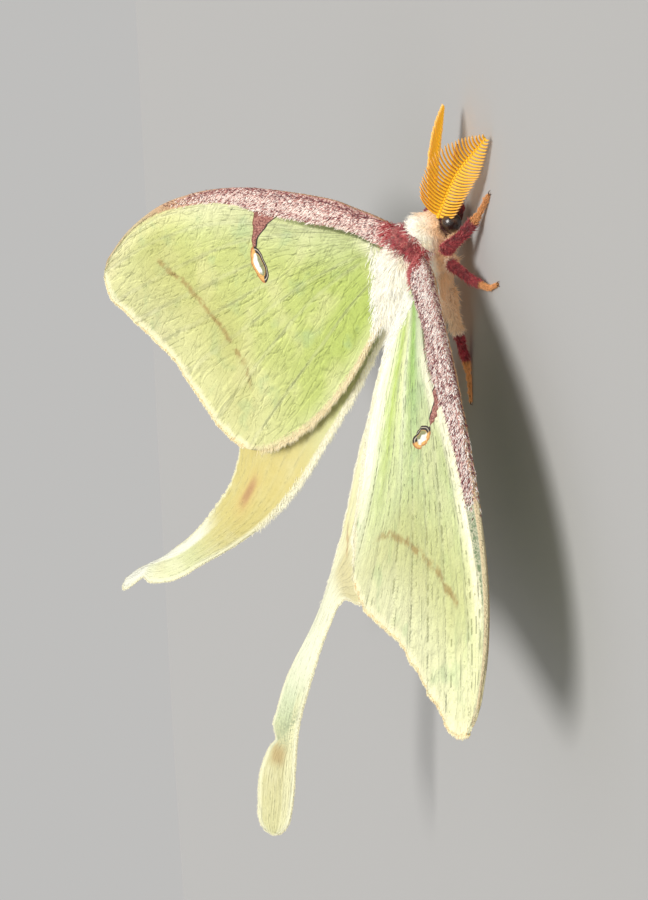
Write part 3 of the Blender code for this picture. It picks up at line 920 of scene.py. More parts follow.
for number, side_name in enumerate(SIDES):
    antenna_horn, recipe = new_material(f"antenna_horn_{side_name}")
    along = recipe.kept("along")
    tone = recipe.layered(
        GOLD,
        (along.rising(0.0, 0.7), OLD_GOLD),
        (along.rising(0.75, 1.0) * 0.4, PEACH),
        (recipe.grain(0.1).rising(0.45, 0.7) * 0.4, AMBER),
    )
    recipe.surface(tone, 0.5, ANTENNA_GLOW[side_name], Sheen_Weight=0.1)

    stops = ANTENNA_LINE[side_name]
    joints_at = np.linspace(0, 1, 9)
    joints = list(zip(flow(stops, joints_at), flow(SHAFT_THICKNESS, joints_at)))
    shaft_form = limb(joints, 4 * BRANCHES, 10, shaft_joints_swell)
    shaft = turned_outwards(add_mesh(f"antenna_shaft_{side_name}", *shaft_form))
    shaft.data.materials.append(antenna_horn)
    paint(shaft.data, along=np.zeros(len(shaft.data.vertices)))
    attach(shaft, "root")
    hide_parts(f"antenna_{side_name}")

    at = (np.arange(BRANCHES) + 0.6) / BRANCHES
    middle = flow(stops, at)
    ahead = unit(np.gradient(middle, axis=0))
    across = np.array(ANTENNA_ACROSS[side_name])
    across = unit(across - ahead * (ahead @ across)[:, None])
    square = np.cross(ahead, across)
    square *= np.sign(square[:, 2:].sum())
    lie = np.concatenate([unit(across * way + ahead * 0.08 + square * TROUGH[side_name]) for way in COMBS])
    reach = np.concatenate([flow(row, at + 0.1 * (1 - at)) for row in COMBS.values()])
    comb = add_mesh(f"antenna_comb_{side_name}", np.tile(middle, (2, 1)), [])
    columns = np.repeat((0.1, 0.6), BRANCHES)
    paint(
        comb.data, up=np.tile(ahead, (2, 1)), lie=lie, hair=reach * MM, cover=np.ones(len(reach)),
        unwrap=np.column_stack([columns, np.tile(at * 0.95, 2), np.zeros(len(reach))]),
    )
    grown(comb, 10, antenna_horn, Scatter=False, Density=1.0, Seed=number, **BRANCH_SHAPE)
    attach(comb, "root")

# ---- Forewings -----------------------------------------------------------------
# A stiff membrane on branching veins, roofed with pale green scales. The front edge is a thick maroon rail,
# and a stalk leads from it to an eyespot at the end of the cell. Ground pattern follows the veins.

HINGE = (5.0, -0.2, 7.4)
FORE_LENGTH = 58.8
FORE_START = -3.6  # the root runs on under the fur of the thorax
WING_THICKNESS = 0.2
FORE_GRID = (170, 84)
# Across the hinge line, going out along the wing: its front edge, its hind edge, and its rail's width and
# thickness.
COSTA = (
    (-3.6, -1.2), (-1.0, -1.6), (1.5, -3.0), (4.0, -4.2), (8.0, -5.2), (16.0, -7.4), (26.0, -9.6),
    (37.0, -10.4), (47.0, -9.2), (54.0, -6.3), (58.8, -2.6),
)
HIND_MARGIN = (
    (0.0, 6.0), (4.0, 11.8), (7.0, 15.8), (13.0, 21.3), (20.0, 25.2), (26.0, 26.4), (30.0, 25.2),
    (35.5, 20.6), (42.0, 13.6), (50.0, 7.7), (56.0, 3.6), (58.8, 1.6),
)
RAIL_WIDTH = (
    (-3.6, 2.2), (-1.0, 2.6), (1.5, 3.5), (8.0, 3.5), (16.0, 3.5), (24.0, 3.1), (28.0, 2.4), (32.0, 1.9),
    (40.0, 1.4), (46.0, 0.8), (52.0, 0.45), (58.8, 0.25),
)
RAIL_THICKNESS = (
    (-3.6, 0.5), (-1.0, 0.7), (1.5, 1.4), (4.0, 1.7), (10.0, 1.5), (18.0, 1.2), (28.0, 0.8), (40.0, 0.5),
    (58.8, 0.2),
)
RAIL_WIDER = {"left": 0.0, "right": 0.9}  # the right rail rolls over farther out along the wing
TORNUS = 28.0  # where the hind edge turns the corner between its fringe and its scalloped rim
FORE_POSE = {"left": (30.5, 42.0, 1.8), "right": (20.4, 8.2, 11.8)}  # sweep, rise and twist, in degrees
FORE_DROOP = {"left": 2.6, "right": 3.4}  # how far the tip hangs
WRINKLE = {"left": 0.035, "right": 0.075}
# Veins from the front edge back: how far behind the hinge line each lies at distances out from the hinge.
VEINS = (
    ((0, -1.3), (8, -2.6), (16, -4.3), (26, -6.8), (37, -8.2), (47, -7.7), (54, -5.2), (60, -1.2)),
    ((0, -0.9), (8, -1.6), (16, -2.8), (24, -4.6), (36, -5.6), (48, -4.4), (60, -0.8)),
    ((0, -0.6), (8, -1.0), (16, -1.9), (24, -2.6), (36, -1.4), (48, 1.2), (60, 4.4)),
    ((0, -0.2), (12, -0.2), (24, 0.6), (36, 3.0), (48, 5.9), (60, 9.0)),
    ((0, 0.3), (12, 1.6), (24, 4.2), (36, 7.6), (48, 11.0), (60, 14.5)),
    ((0, 0.7), (10, 2.8), (20, 6.2), (30, 10.6), (42, 16.2), (60, 25.0)),
    ((0, 1.2), (8, 3.6), (16, 7.8), (25, 14.4), (35, 23.5), (45, 33.0), (60, 47.0)),
    ((0, 2.4), (6, 6.5), (12, 11.8), (20, 18.8), (28, 27.0), (40, 39.0), (60, 58.0)),
)
LAST_VEIN = ((0, 6.0), (4, 11.8), (7, 15.8), (13, 21.3), (20, 25.4), (26, 30.0), (40, 45.0), (60, 65.0))
VEIN_FROM = (0, 0, 12, 16, 24, 20, 6, 4, 2, 0)  # where each line starts to show, the two edges included
DUSK_LINE = ((45.8, -1.7), (39.6, 2.3), (32.3, 9.1), (27.9, 14.5), (25.5, 20.0))


def away(points, line):
    """How far points in the plane of a wing are from a line through points."""
    line = np.asarray(line, float)
    starts, steps = line[:-1], np.diff(line, axis=0)
    off = points[..., None, :] - starts
    share = np.clip((off * steps).sum(axis=-1) / (steps**2).sum(axis=-1), 0.0, 1.0)
    return np.linalg.norm(off - share[..., None] * steps, axis=-1).min(axis=-1)


def wing_sheet(name, middle, thickness, over_first, kept):
    """A closed thin sheet about a grid of middle points, with values kept for its finish."""
    normal = unit(np.cross(np.gradient(middle, axis=0), np.gradient(middle, axis=1)))
    half = normal * np.broadcast_to(thickness, middle.shape[:2])[..., None] / 2
    rows, columns = middle.shape[:2]
    lower = rows * columns
    grid = np.arange(lower).reshape(rows, columns)
    quads = np.stack([grid[:-1, :-1], grid[1:, :-1], grid[1:, 1:], grid[:-1, 1:]], axis=-1).reshape(-1, 4)
    rim = np.concatenate([grid[:, 0], grid[-1, 1:], grid[-2::-1, -1], grid[0, -2:0:-1]])
    following = np.roll(rim, -1)
    walls = np.stack([following, rim, rim + lower, following + lower], axis=-1)
    faces = np.concatenate([quads, quads[:, ::-1] + lower, walls]).tolist()
    points = np.concatenate([(middle + half).reshape(-1, 3), (middle - half).reshape(-1, 3)])
    wing = add_mesh(name, points, faces)
    kept = {key: np.tile(value.ravel(), 2) for key, value in kept.items()}
    kept["under"] = np.repeat((0.0, 1.0) if over_first else (1.0, 0.0), lower)
    paint(wing.data, up=np.concatenate([normal.reshape(-1, 3), -normal.reshape(-1, 3)]), **kept)
    return wing, kept


def blunt_end(at, end, radius):
    """Shrinks a strip's width to a rounded end."""
    past = np.clip((at - (end - radius)) / radius, 0.0, 1.0)
    return np.sqrt(np.maximum(1 - past**2, 0.003))


def vein_lines(v, lines, starts, u):
    """Where a point lies among the veins (whole numbers on them), the room there, and how they show."""
    index = np.clip((v[..., None] >= lines.T[:, None, :]).sum(axis=-1) - 1, 0, len(lines) - 2)
    rows = np.arange(len(u))[:, None]
    before, after = lines.T[rows, index], lines.T[rows, index + 1]
    slope = np.gradient((before + after) / 2, u, axis=0)
    number = index + np.clip((v - before) / np.maximum(after - before, 1e-3), 0.0, 1.0)
    starts = np.array(starts, float)[np.rint(number).astype(int)]
    return number, (after - before) / np.sqrt(1 + slope**2), eased(u[:, None], starts - 1.5, starts + 3.0)


def forewing(side_name):
    """A forewing, the values kept at its points, and its ways out along the wing and back across it."""
    side = SIDES[side_name]
    is_left = side_name == "left"
    sweep, rise, twist = np.radians(FORE_POSE[side_name])
    out = np.array([side * np.cos(rise) * np.cos(sweep), np.cos(rise) * np.sin(sweep), np.sin(rise)])
    back = np.array([-side * np.sin(sweep), np.cos(sweep), 0.0])
    normal = np.cross(out, back) * side
    turned = np.cos(twist) * back + np.sin(twist) * normal
    normal = np.cos(twist) * normal - np.sin(twist) * back
    u = FORE_START + (FORE_LENGTH - FORE_START) * np.linspace(0.0, 1.0, FORE_GRID[0])
    front, hind = flow(COSTA, u), flow(HIND_MARGIN, u)
    front = front + 1.2 * eased(u, 11, 3) * is_left
    ragged = 0.05 * np.sin(u * 3.1) + 0.05 * np.sin(u * 5.3 + 1.0) + 0.04 * np.sin(u * 9.7)
    hind = hind + ragged * eased(u, TORNUS - 4, TORNUS + 3)
    centre = (front + hind) / 2
    narrow = blunt_end(u, FORE_LENGTH, 1.5)
    front, hind = centre + (front - centre) * narrow, centre + (hind - centre) * narrow
    share = np.linspace(0.0, 1.0, FORE_GRID[1]) ** 1.35
    v = front[:, None] * (1 - share) + hind[:, None] * share
    uu = np.repeat(u[:, None], FORE_GRID[1], axis=1)
    last = np.maximum(flow(LAST_VEIN, u), hind + 0.01)
    lines = np.array([front, *(flow(stops, u) for stops in VEINS), last])
    vein, gap, shows = vein_lines(v, lines, VEIN_FROM, u)
    flat = np.stack([uu, v], axis=-1)
    tornus = np.array([TORNUS, flow(HIND_MARGIN, TORNUS)])
    outer = u >= TORNUS
    costa_line = np.stack([u, front], axis=1)[::3]
    hind_line = np.stack([u, hind], axis=1)
    rim_line = np.concatenate([[tornus], hind_line[outer]])[::2]
    hem_line = np.concatenate([hind_line[~outer], [tornus]])[::2]
    kept = {
        "out": uu, "behind": v, "vein": vein, "gap": gap, "shows": shows, "front": away(flat, costa_line),
        "rim": away(flat, rim_line), "hem": away(flat, hem_line), "dusk": away(flat, DUSK_LINE),
    }
    wider = RAIL_WIDER[side_name] * eased(uu, 10, 18) * eased(uu, 58, 42) - 0.8 * eased(uu, 14, 4) * is_left
    kept["rail"] = kept["front"] - flow(RAIL_WIDTH, u)[:, None] - wider
    # The membrane: ridges on the veins, hollows between them, ripples along it and a rounded rail in front.
    off = np.abs(vein - np.rint(vein)) * gap
    relief = 0.12 * np.exp(-((off / 0.3) ** 2)) * shows
    relief -= 0.20 * np.sin(np.pi * vein) ** 2 * np.clip(gap / 4, 0, 1)
    ripple = np.sin(vein * 13 + 1.5 * np.sin(uu / 7)) + np.sin(vein * 23 + uu / 5)
    relief += WRINKLE[side_name] * ripple * eased(uu, 6, 20) * np.clip(gap / 3, 0, 1)
    relief += 0.30 * np.sin(uu / 9 + v / 7) * eased(uu, 4, 16)
    thick = flow(RAIL_THICKNESS, u)[:, None]
    roll = np.sqrt(np.clip(1 - (np.minimum(kept["front"] / thick, 2.0) - 1) ** 2, 0, 1))
    droop = -FORE_DROOP[side_name] * (uu / FORE_LENGTH) ** 2 - 0.10 * np.maximum(1.5 - uu, 0.0) ** 2
    middle = np.array(HINGE) * (side, 1, 1) + uu[..., None] * out + v[..., None] * turned
    middle = middle + (droop + relief)[..., None] * normal
    thickness = WING_THICKNESS + thick * roll
    wing, kept = wing_sheet(f"forewing_scaled_{side_name}", middle, thickness, side > 0, kept)
    return wing, kept, out, turned


def scale_grain(recipe, vein, out, size=1.0):
    """Scales in fine rows along the veins: a value from 0 to 1."""
    return recipe.noise(recipe.spread(out * (3.0 / size), vein * (30.0 / size)), Detail=3.0)


def creases(recipe, place, thin, sideways):
    """Fine creases: 1 on a crease and 0 off it, and their sides, the lit one above 0 and the other below."""
    lines = []
    for shift in (0.0, sideways):
        moved = recipe.node("ShaderNodeVectorMath", {"operation": "ADD"}, {0: place, 1: (0.0, shift, 0.0)})
        lines.append(recipe.noise(moved, Distortion=0.5).near(0.5, thin, 0.0))
    return lines[0], lines[0] - lines[1]


def vein_marks(recipe, vein, gap, shows, out, breaks, length):
    """Thin dark broken lines on the veins, finer ones in the folds between them, and the veins' ridges, for
    relief and for a painted highlight.
    """
    whole = vein.nearest_whole()
    third = (vein * 3.0 + 0.5).nearest_whole()
    off = abs(vein - whole) * gap
    fold = abs(vein * 3.0 + 0.5 - third) / 3.0 * gap
    broken = recipe.noise(recipe.spread(out * length, whole * 7.3), Detail=5.0)
    fold_broken = recipe.noise(recipe.spread(out * 0.6, third * 3.7, 5.0), Detail=5.0)
    line = off.rising(0.09, 0.03) * shows * broken.rising(breaks, breaks + 0.10)
    crease = fold.rising(0.09, 0.03) * fold_broken.rising(breaks + 0.07, breaks + 0.13)
    return line, crease, off.rising(0.45, 0.0) * shows


LEAF = (0.33, 0.43, 0.075)
CREAM = (0.70, 0.66, 0.38)
PALE = (0.80, 0.78, 0.58)
TEAL = (0.30, 0.43, 0.22)
OLIVE = (0.13, 0.15, 0.045)
SHADOW_GREEN = (0.10, 0.12, 0.02)
UNDER_GREEN = (0.60, 0.66, 0.38)
DUSK_BROWN = (0.33, 0.21, 0.06)
DUSK_HALO = (0.46, 0.44, 0.13)
BORDER_CREAM = (0.92, 0.88, 0.58)
HEM_TAN = (0.84, 0.74, 0.46)
RIM_BROWN = (0.55, 0.30, 0.08)
RAIL_MAROON = (0.30, 0.075, 0.085)
RAIL_PINK = (0.68, 0.40, 0.34)
RAIL_PALE = (0.90, 0.76, 0.64)
RAIL_TAN = (0.74, 0.46, 0.25)
RAIL_STRAW = (0.80, 0.80, 0.52)
STRIP_DARK, STRIP_PALE = (0.22, 0.30, 0.16), (0.62, 0.62, 0.42)
EDGE_ORANGE, EDGE_BROWN, EDGE_TAN = (0.74, 0.38, 0.13), (0.30, 0.11, 0.05), (0.72, 0.48, 0.26)
STALK_DARK, STALK_PINK, STALK_EDGE = (0.22, 0.06, 0.05), (0.52, 0.24, 0.19), (0.25, 0.09, 0.05)
EYESPOT_AT = (24.1, 1.1)
EYESPOT_REACH = (1.3, 2.6)
EYESPOT_LEAN = 0.40
EYESPOT_BLACK = (0.012, 0.008, 0.008)
EYESPOT_ORANGE, EYESPOT_RUST = (0.80, 0.44, 0.13), (0.46, 0.17, 0.05)
EYESPOT_GREY, EYESPOT_GREEN, EYESPOT_WHITE = (0.60, 0.52, 0.40), (0.28, 0.28, 0.13), (0.95, 0.93, 0.86)
# The root's pleats from the front edge to the hind edge: pale, teal, green, white, lime and white again.
PLEATS = (
    (0.0, (0.80, 0.82, 0.58)), (0.22, (0.80, 0.83, 0.60)), (0.32, (0.56, 0.64, 0.40)),
    (0.44, (0.50, 0.60, 0.36)), (0.54, (0.30, 0.50, 0.12)), (0.62, (0.42, 0.55, 0.22)),
    (0.68, (0.80, 0.84, 0.60)), (0.76, (0.66, 0.72, 0.36)), (0.84, (0.44, 0.56, 0.14)),
    (0.92, (0.86, 0.88, 0.66)), (1.0, (0.92, 0.91, 0.74)),
)
# What differs between the two wings' finishes: the ground green, how far out the root's green runs, the
# border's cream and how much of it, how dark the veins' lines are, how broken and how long, and the folds.
FORE_FINISH = {
    "left": dict(
        ground=(0.46, 0.50, 0.17), green=22.0, border=(0.5, CREAM), dark=0.4, breaks=0.47, dash=0.22,
        folded=1.0,
    ),
    "right": dict(
        ground=(0.45, 0.52, 0.21), green=14.0, border=(0.85, (0.73, 0.70, 0.45)), dark=0.7, breaks=0.44,
        dash=0.6, folded=0.45,
    ),
}


def rail_finish(recipe, is_left, out, front, rail_edge, speckle):
    """The rail's own colour: maroon and pink near the body, and tan towards the tip."""
    tan_from = (30.0, 44.0) if is_left else (38.0, 44.0)
    rail = recipe.layered(
        RAIL_MAROON,
        (speckle.rising(0.38, 0.54), RAIL_PINK),
        (speckle.rising(0.56, 0.66) * 0.85, RAIL_PALE),
        (out.rising(*tan_from) * 0.8, RAIL_TAN),
        (out.rising(42.0, 52.0) * 0.7, CREAM),
    )
    if is_left:
        return rail
    strip = out.rising(37.0, 40.0) * out.rising(54.0, 49.0)
    strip = strip * front.rising(0.10, 0.25) * rail_edge.rising(0.1, -0.2)
    strip_tone = recipe.blend(speckle.rising(0.4, 0.6), STRIP_DARK, STRIP_PALE)
    return recipe.layered(rail, (out.rising(38.0, 41.0) * 0.8, RAIL_STRAW), (strip, strip_tone))


def with_eyespot(recipe, tone, out, behind, rail_edge, speckle):
    """The stalk from the rail, edged dark on the body side, and the eyespot that it holds."""
    a, b = out - EYESPOT_AT[0], behind - EYESPOT_AT[1]
    climb = (-1.9 - b).at_least(0.0)
    root_side = 0.6 - climb * climb * 0.25
    tip_side = 1.2 - climb * 0.14
    on_stalk = b.rising(-1.2, -1.9) * rail_edge.rising(-0.4, 0.0)
    stalk = (a - root_side).rising(-0.1, 0.1) * (tip_side - a).rising(-0.1, 0.1) * on_stalk
    across = a + b * EYESPOT_LEAN
    ring = ((across / EYESPOT_REACH[0]) ** 2.0 + (b / EYESPOT_REACH[1]) ** 2.0) ** 0.5
    inside = ring.rising(1.03, 0.98)
    body_side = across.rising(0.15, -0.15)
    crescent = ring.rising(0.68, 0.60) * across.rising(-0.18, 0.05) * (b * -1.0).rising(-1.4, -0.9)
    return recipe.layered(
        tone,
        (stalk, recipe.blend(speckle.rising(0.4, 0.6), STALK_DARK, STALK_PINK)),
        (a.near(root_side, 0.22, 0.10) * on_stalk, EYESPOT_BLACK),
        (a.near(tip_side, 0.16, 0.06) * on_stalk, STALK_EDGE),
        (inside, recipe.blend(ring.rising(0.80, 0.98), EYESPOT_ORANGE, EYESPOT_RUST)),
        (inside * ring.rising(0.60, 0.66) * body_side, EYESPOT_BLACK),
        (ring.near(0.84, 0.05, 0.01) * body_side * inside, EYESPOT_GREY),
        (ring.rising(0.62, 0.56), EYESPOT_GREEN),
        (crescent, EYESPOT_WHITE),
    )


def forewing_finish(side_name):
    material, recipe = new_material(f"forewing_scales_{side_name}")
    out, behind, vein, gap = recipe.kept_numbers("out", "behind", "vein", "gap")
    front, rim, hem, dusk = recipe.kept_numbers("front", "rim", "hem", "dusk")
    shows, under, rail_edge = recipe.kept_numbers("shows", "under", "rail")
    is_left = side_name == "left"
    look = FORE_FINISH[side_name]
    dark, folded = look["dark"], look["folded"]
    border_shows, border = look["border"]
    fine = recipe.grain(0.12, 3.0)
    rows = scale_grain(recipe, vein, out)
    ripples = scale_grain(recipe, vein, out, 6.0)
    crumple = recipe.grain(1.3, 4.0)
    speckle = recipe.grain(0.24, 3.0)
    along_veins = recipe.spread(out / 9.0, vein * 2.2, behind / 20.0)
    slanting = recipe.spread((out + behind) / 7.0, (behind - out) / 3.0)
    long_folds, long_sides = creases(recipe, along_veins, 0.05, 0.10)
    cross_folds, cross_sides = creases(recipe, slanting, 0.05, 0.08)
    # The ground: leaf green at the root, paler to the border and beside the rail.
    tone = recipe.layered(
        look["ground"],
        (out.rising(look["green"] + 6.0, 4.0) * 0.75, LEAF),
        (rim.rising(15.0, 1.0) * border_shows, border),
        (rail_edge.rising(4.0, 0.5) * out.rising(18.0, 36.0) * 0.5, CREAM),
        (recipe.grain(7.0).rising(0.5, 0.75) * 0.35, CREAM),
    )
    if is_left:
        beside = rail_edge.rising(7.0, 1.0) * out.rising(4.0, 10.0) * out.rising(44.0, 34.0)
        downy = out.rising(9.0, 4.5) * rail_edge.rising(3.2, 0.8)
        tone = recipe.layered(
            tone,
            (hem.rising(3.0, 0.6) * out.rising(24.0, 12.0) * 0.5, (0.62, 0.64, 0.34)),
            (beside * 0.5, (0.62, 0.65, 0.40)),
            (downy * 0.7, (0.82, 0.80, 0.58)),
        )
    else:
        pleats = recipe.node("ShaderNodeValToRGB", {"stops": PLEATS}, {0: (vein + ripples * 0.8 - 0.4) / 9.0})
        beside = rail_edge.rising(3.2, 1.0) * out.rising(6.0, 18.0) * out.rising(54.0, 46.0)
        tone = recipe.layered(
            tone,
            (out.rising(30.0, 12.0) * 0.95, pleats),
            (out.rising(12.0, 24.0) * 0.35, (0.50, 0.55, 0.32)),
            (beside * 0.8, (0.88, 0.85, 0.64)),
        )
    tone = recipe.blend(recipe.grain(4.5, 3.0).rising(0.56, 0.72) * 0.4, tone, TEAL)
    # Light and shade: scales, ripples, the sides of the folds, a bright tip and, on the left, two dull parts.
    shade = 0.66 + rows * 0.25 + fine * 0.25 + ripples * 0.25 + crumple * 0.2
    shade = shade + behind.rising(6.0, 0.0) * out.rising(30.0, 46.0) * 0.13
    if is_left:
        shade = shade - behind.rising(5.0, 16.0) * 0.04
        shade = shade - behind.rising(-8.0, -3.0) * out.rising(36.0, 50.0) * 0.20
    shade = shade + (long_sides + cross_sides) * 0.22 * folded * out.rising(2.0, 8.0)
    # Marks: olive flecks, the lines on and between the veins, and the dusk line across the wing.
    line, crease, ridge_and_highlight = vein_marks(recipe, vein, gap, shows, out, look["breaks"], look["dash"])
    broken = recipe.grain(1.6).rising(0.32, 0.52) * out.rising(25.5, 28.0)
    smudge = (dusk + recipe.grain(0.5, 3.0) * 0.9 - 0.45).rising(0.75, 0.0)
    soft = rail_edge + speckle * 0.6 - 0.3
    on_rail = soft.rising(0.16, -0.16)
    shadow = soft.near(0.28, 0.42, 0.12) * out.rising(26.0, 12.0)
    # A thin orange-brown line along the front edge. On the right it runs on the underside, where its orange
    # is painted light shining through the rail's edge.
    edge_line = front.rising(0.05, 0.01) if is_left else under * front.near(0.3, 0.2, 0.08)
    tone = recipe.layered(
        recipe.scaled(tone, shade),
        (recipe.grain(0.35).rising(0.66, 0.76) * 0.5, OLIVE),
        # the veins' ridges painted paler, a painted highlight
        (ridge_and_highlight * 0.12, PALE),
        (line * (0.14 + dark * 0.65), OLIVE),
        (crease * dark * 0.8 * gap.rising(0.9, 2.2), OLIVE),
        (dusk.rising(8.0, 0.5) * out.rising(24.0, 30.0) * 0.4, DUSK_HALO),
        (smudge * broken * 0.75, DUSK_BROWN),
        ((rim + recipe.grain(1.0) * 1.2 - 0.6).rising(1.5, 0.4) * 0.75, BORDER_CREAM),
        ((rim + recipe.grain(0.6) * 0.5 - 0.25).rising(0.22, 0.03) * 0.35, RIM_BROWN),
        (hem.rising(1.0, 0.2) * 0.6, HEM_TAN),
        (shadow * 0.85, SHADOW_GREEN),
        (on_rail, rail_finish(recipe, is_left, out, front, rail_edge, speckle)),
        (edge_line * 0.8, recipe.blend(speckle.rising(0.50, 0.58), EDGE_ORANGE, EDGE_BROWN)),
        (front.rising(0.14, 0.04) * out.rising(26.0, 34.0) * 0.5, EDGE_TAN),
    )
    tone = with_eyespot(recipe, tone, out, behind, rail_edge, speckle)
    if is_left:
        tone = recipe.blend(under * 0.25, tone, UNDER_GREEN)
    else:
        tan_below = on_rail * out.rising(50.0, 40.0) * front.rising(0.15, 0.3)
        below = recipe.blend(tan_below, UNDER_GREEN, RAIL_TAN)
        tone = recipe.blend(under * (0.25 + tan_below * 0.55), tone, below)
    height = fine * 0.08 + rows * 0.06 + ripples * 0.35 + crumple * 0.9
    height = height + ridge_and_highlight * 0.12 - line * 0.08 - crease * 0.1
    height = height + on_rail * speckle * 0.4 - (long_folds + cross_folds) * folded * 0.10
    recipe.surface(tone, 0.72, Sheen_Weight=0.08, Normal=recipe.nap(1.0, 0.75, height))
    return material


def plain_fur(name, base, tip, speckled=None, often=0.0, dark=None):
    """Wing hair of one colour, darker at its roots, with some paler hairs and some dark ones."""
    material, recipe = new_material(name)
    along = recipe.kept("along")
    luck = recipe.parts(recipe.kept("chance", output=1))[0]
    tone = recipe.blend(along.rising(0.2, 1.0), base, tip)
    if speckled:
        tone = recipe.blend((luck + often * 2.0).rising(0.9, 1.1), tone, speckled)
    if dark:
        tone = recipe.blend(luck.rising(-0.40, -0.50), tone, dark)
    tone = recipe.scaled(tone, 0.78 + 0.22 * along.rising(0.0, 0.5) + 0.08 * luck)
    recipe.surface(tone, 0.75, FUR_GLOW, Sheen_Weight=0.1)
    return material


RAIL_DARK = (0.15, 0.025, 0.035)
root_fur = plain_fur("wing_root_fur", (0.93, 0.91, 0.80), (0.98, 0.97, 0.92))
shoulder_fur = plain_fur("shoulder_fur", (0.33, 0.02, 0.03), (0.64, 0.20, 0.19))
edge_fur = plain_fur("edge_scales", (0.92, 0.82, 0.48), (0.96, 0.93, 0.70), (0.70, 0.44, 0.16), 0.15)
hem_furs = {
    "left": plain_fur("wing_hem_fur_left", (0.82, 0.68, 0.40), (0.94, 0.86, 0.64)),
    "right": plain_fur("wing_hem_fur_right", (0.90, 0.86, 0.64), (0.96, 0.94, 0.80)),
}
# The right rail's scales are painted lighter than the left's: painted light on a rail that lies in shade.
rail_furs = {
    "left": plain_fur(
        "rail_scales_left", (0.48, 0.18, 0.16), (0.88, 0.60, 0.52), (0.97, 0.84, 0.76), 0.40, RAIL_DARK
    ),
    "right": plain_fur(
        "rail_scales_right", (0.58, 0.27, 0.24), (0.96, 0.75, 0.66), (0.98, 0.92, 0.86), 0.52, RAIL_DARK
    ),
}
beneath_furs = {
    "left": rail_furs["left"], "right": plain_fur("beneath_scales", (0.56, 0.31, 0.14), (0.88, 0.62, 0.36))
}


def wing_coats(wing, kind, side_name, unwrap, seed, rows):
    """A wing's hair and scales. Each row says where one lies, how many, rings, fur, length, way and shape."""
    points = places(wing.data)
    unevenness = 0.12 * np.stack([waves(points, 1.6, 5 + k) for k in range(3)], axis=1)
    longer = 1 + 0.2 * waves(points, 1.1, 9)
    for place, (part, (cover, count, rings, fur, reach, way, shape)) in enumerate(rows.items()):
        paint(wing.data, lie=unit(way + unevenness), hair=reach * MM * longer)
        name = f"{kind}_{part}_{side_name}"
        piece = coat(name, wing, cover, count, fur, seed + place, unwrap, rings, **shape)


ROOT_HAIR = dict(Width=0.05, Rise=0.25, Droop=0.16, Frizz=0.08)
HEM_HAIR = dict(Width=0.045, Rise=0.15, Droop=0.1, Frizz=0.06)
RAIL_HAIR = dict(Width=0.065, Rise=0.4, Droop=0.1, Spread=0.8)
BENEATH_HAIR = dict(Width=0.065, Rise=0.25, Droop=0.1, Spread=0.5)
SHOULDER_HAIR = dict(Width=0.08, Rise=0.7, Droop=0.2, Frizz=0.2, Spread=1.0)
EDGE_SCALES = dict(Width=0.05, Rise=0.03, Droop=0.0, Spread=0.35)
RAIL_HAIR_ENDS = {"left": (46, 26), "right": (41.5, 36)}

for number, side_name in enumerate(SIDES):
    wing, kept, out_way, back_way = forewing(side_name)
    wing.data.materials.append(forewing_finish(side_name))
    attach(wing, "root")
    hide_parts(f"forewing_{side_name}")
    u, under = kept["out"], kept["under"]
    if side_name == "left":
        topside = eased(kept["front"], 0.05, 0.30) * (1 - under)
        upper = 1.0
    else:
        topside = 1 - under * eased(kept["front"], 0.10, 0.28)
        upper = 1.0 - under
    rail = eased(kept["rail"], 0.0, -0.35) * eased(u, *RAIL_HAIR_ENDS[side_name])
    root_length = 1.5 * (0.4 + 0.6 * eased(u, 5.2, 3.8))
    along_rail = unit(out_way + back_way * 0.15)
    rows = {
        "root": (
            eased(u, 5.3, 3.4) * eased(kept["rail"], 0.3, 1.0), 2300, 3, root_fur, root_length,
            unit(out_way * 0.3 + back_way * 0.9), ROOT_HAIR,
        ),
        "hem": (
            eased(kept["hem"], 0.7, 0.15) * eased(u, 27, 20), 2400, 2, hem_furs[side_name], 0.95,
            unit(back_way + out_way * 0.35), HEM_HAIR,
        ),
        "rail": (rail * topside, 7400, 2, rail_furs[side_name], 0.48, along_rail, RAIL_HAIR),
        "beneath": (
            rail * under * (1 - topside), 2000, 2, beneath_furs[side_name], 0.48, along_rail, BENEATH_HAIR
        ),
        "shoulder": (
            eased(kept["rail"], 0.2, -0.4) * eased(u, 2.6, -0.4) * upper, 1600, 3, shoulder_fur, 0.8,
            unit(out_way + back_way * 0.3), SHOULDER_HAIR,
        ),
        "edge": (
            eased(kept["rim"], 0.25, 0.08) * eased(u, 24, 27), 3000, 2, edge_fur, 0.30,
            unit(back_way + out_way * 0.5), EDGE_SCALES,
        ),
    }
    wing_unwrap = np.stack([u / FORE_LENGTH, (kept["behind"] + 12) / 40], axis=1)
    wing_coats(wing, "forewing", side_name, wing_unwrap, 40 + 10 * number, rows)

# ---- Hindwings -----------------------------------------------------------------
# A round fan under the forewing that draws out into a long tail. The inner edge has a fringe of long hair,
# an eyespot sits in the fan, and each tail ends in a lobe, twisted on the right and rolled on the left.

HIND_LENGTH = 80.0
HIND_START = -2.5
HIND_GRID = (210, 36)
HIND_VEINS = 8
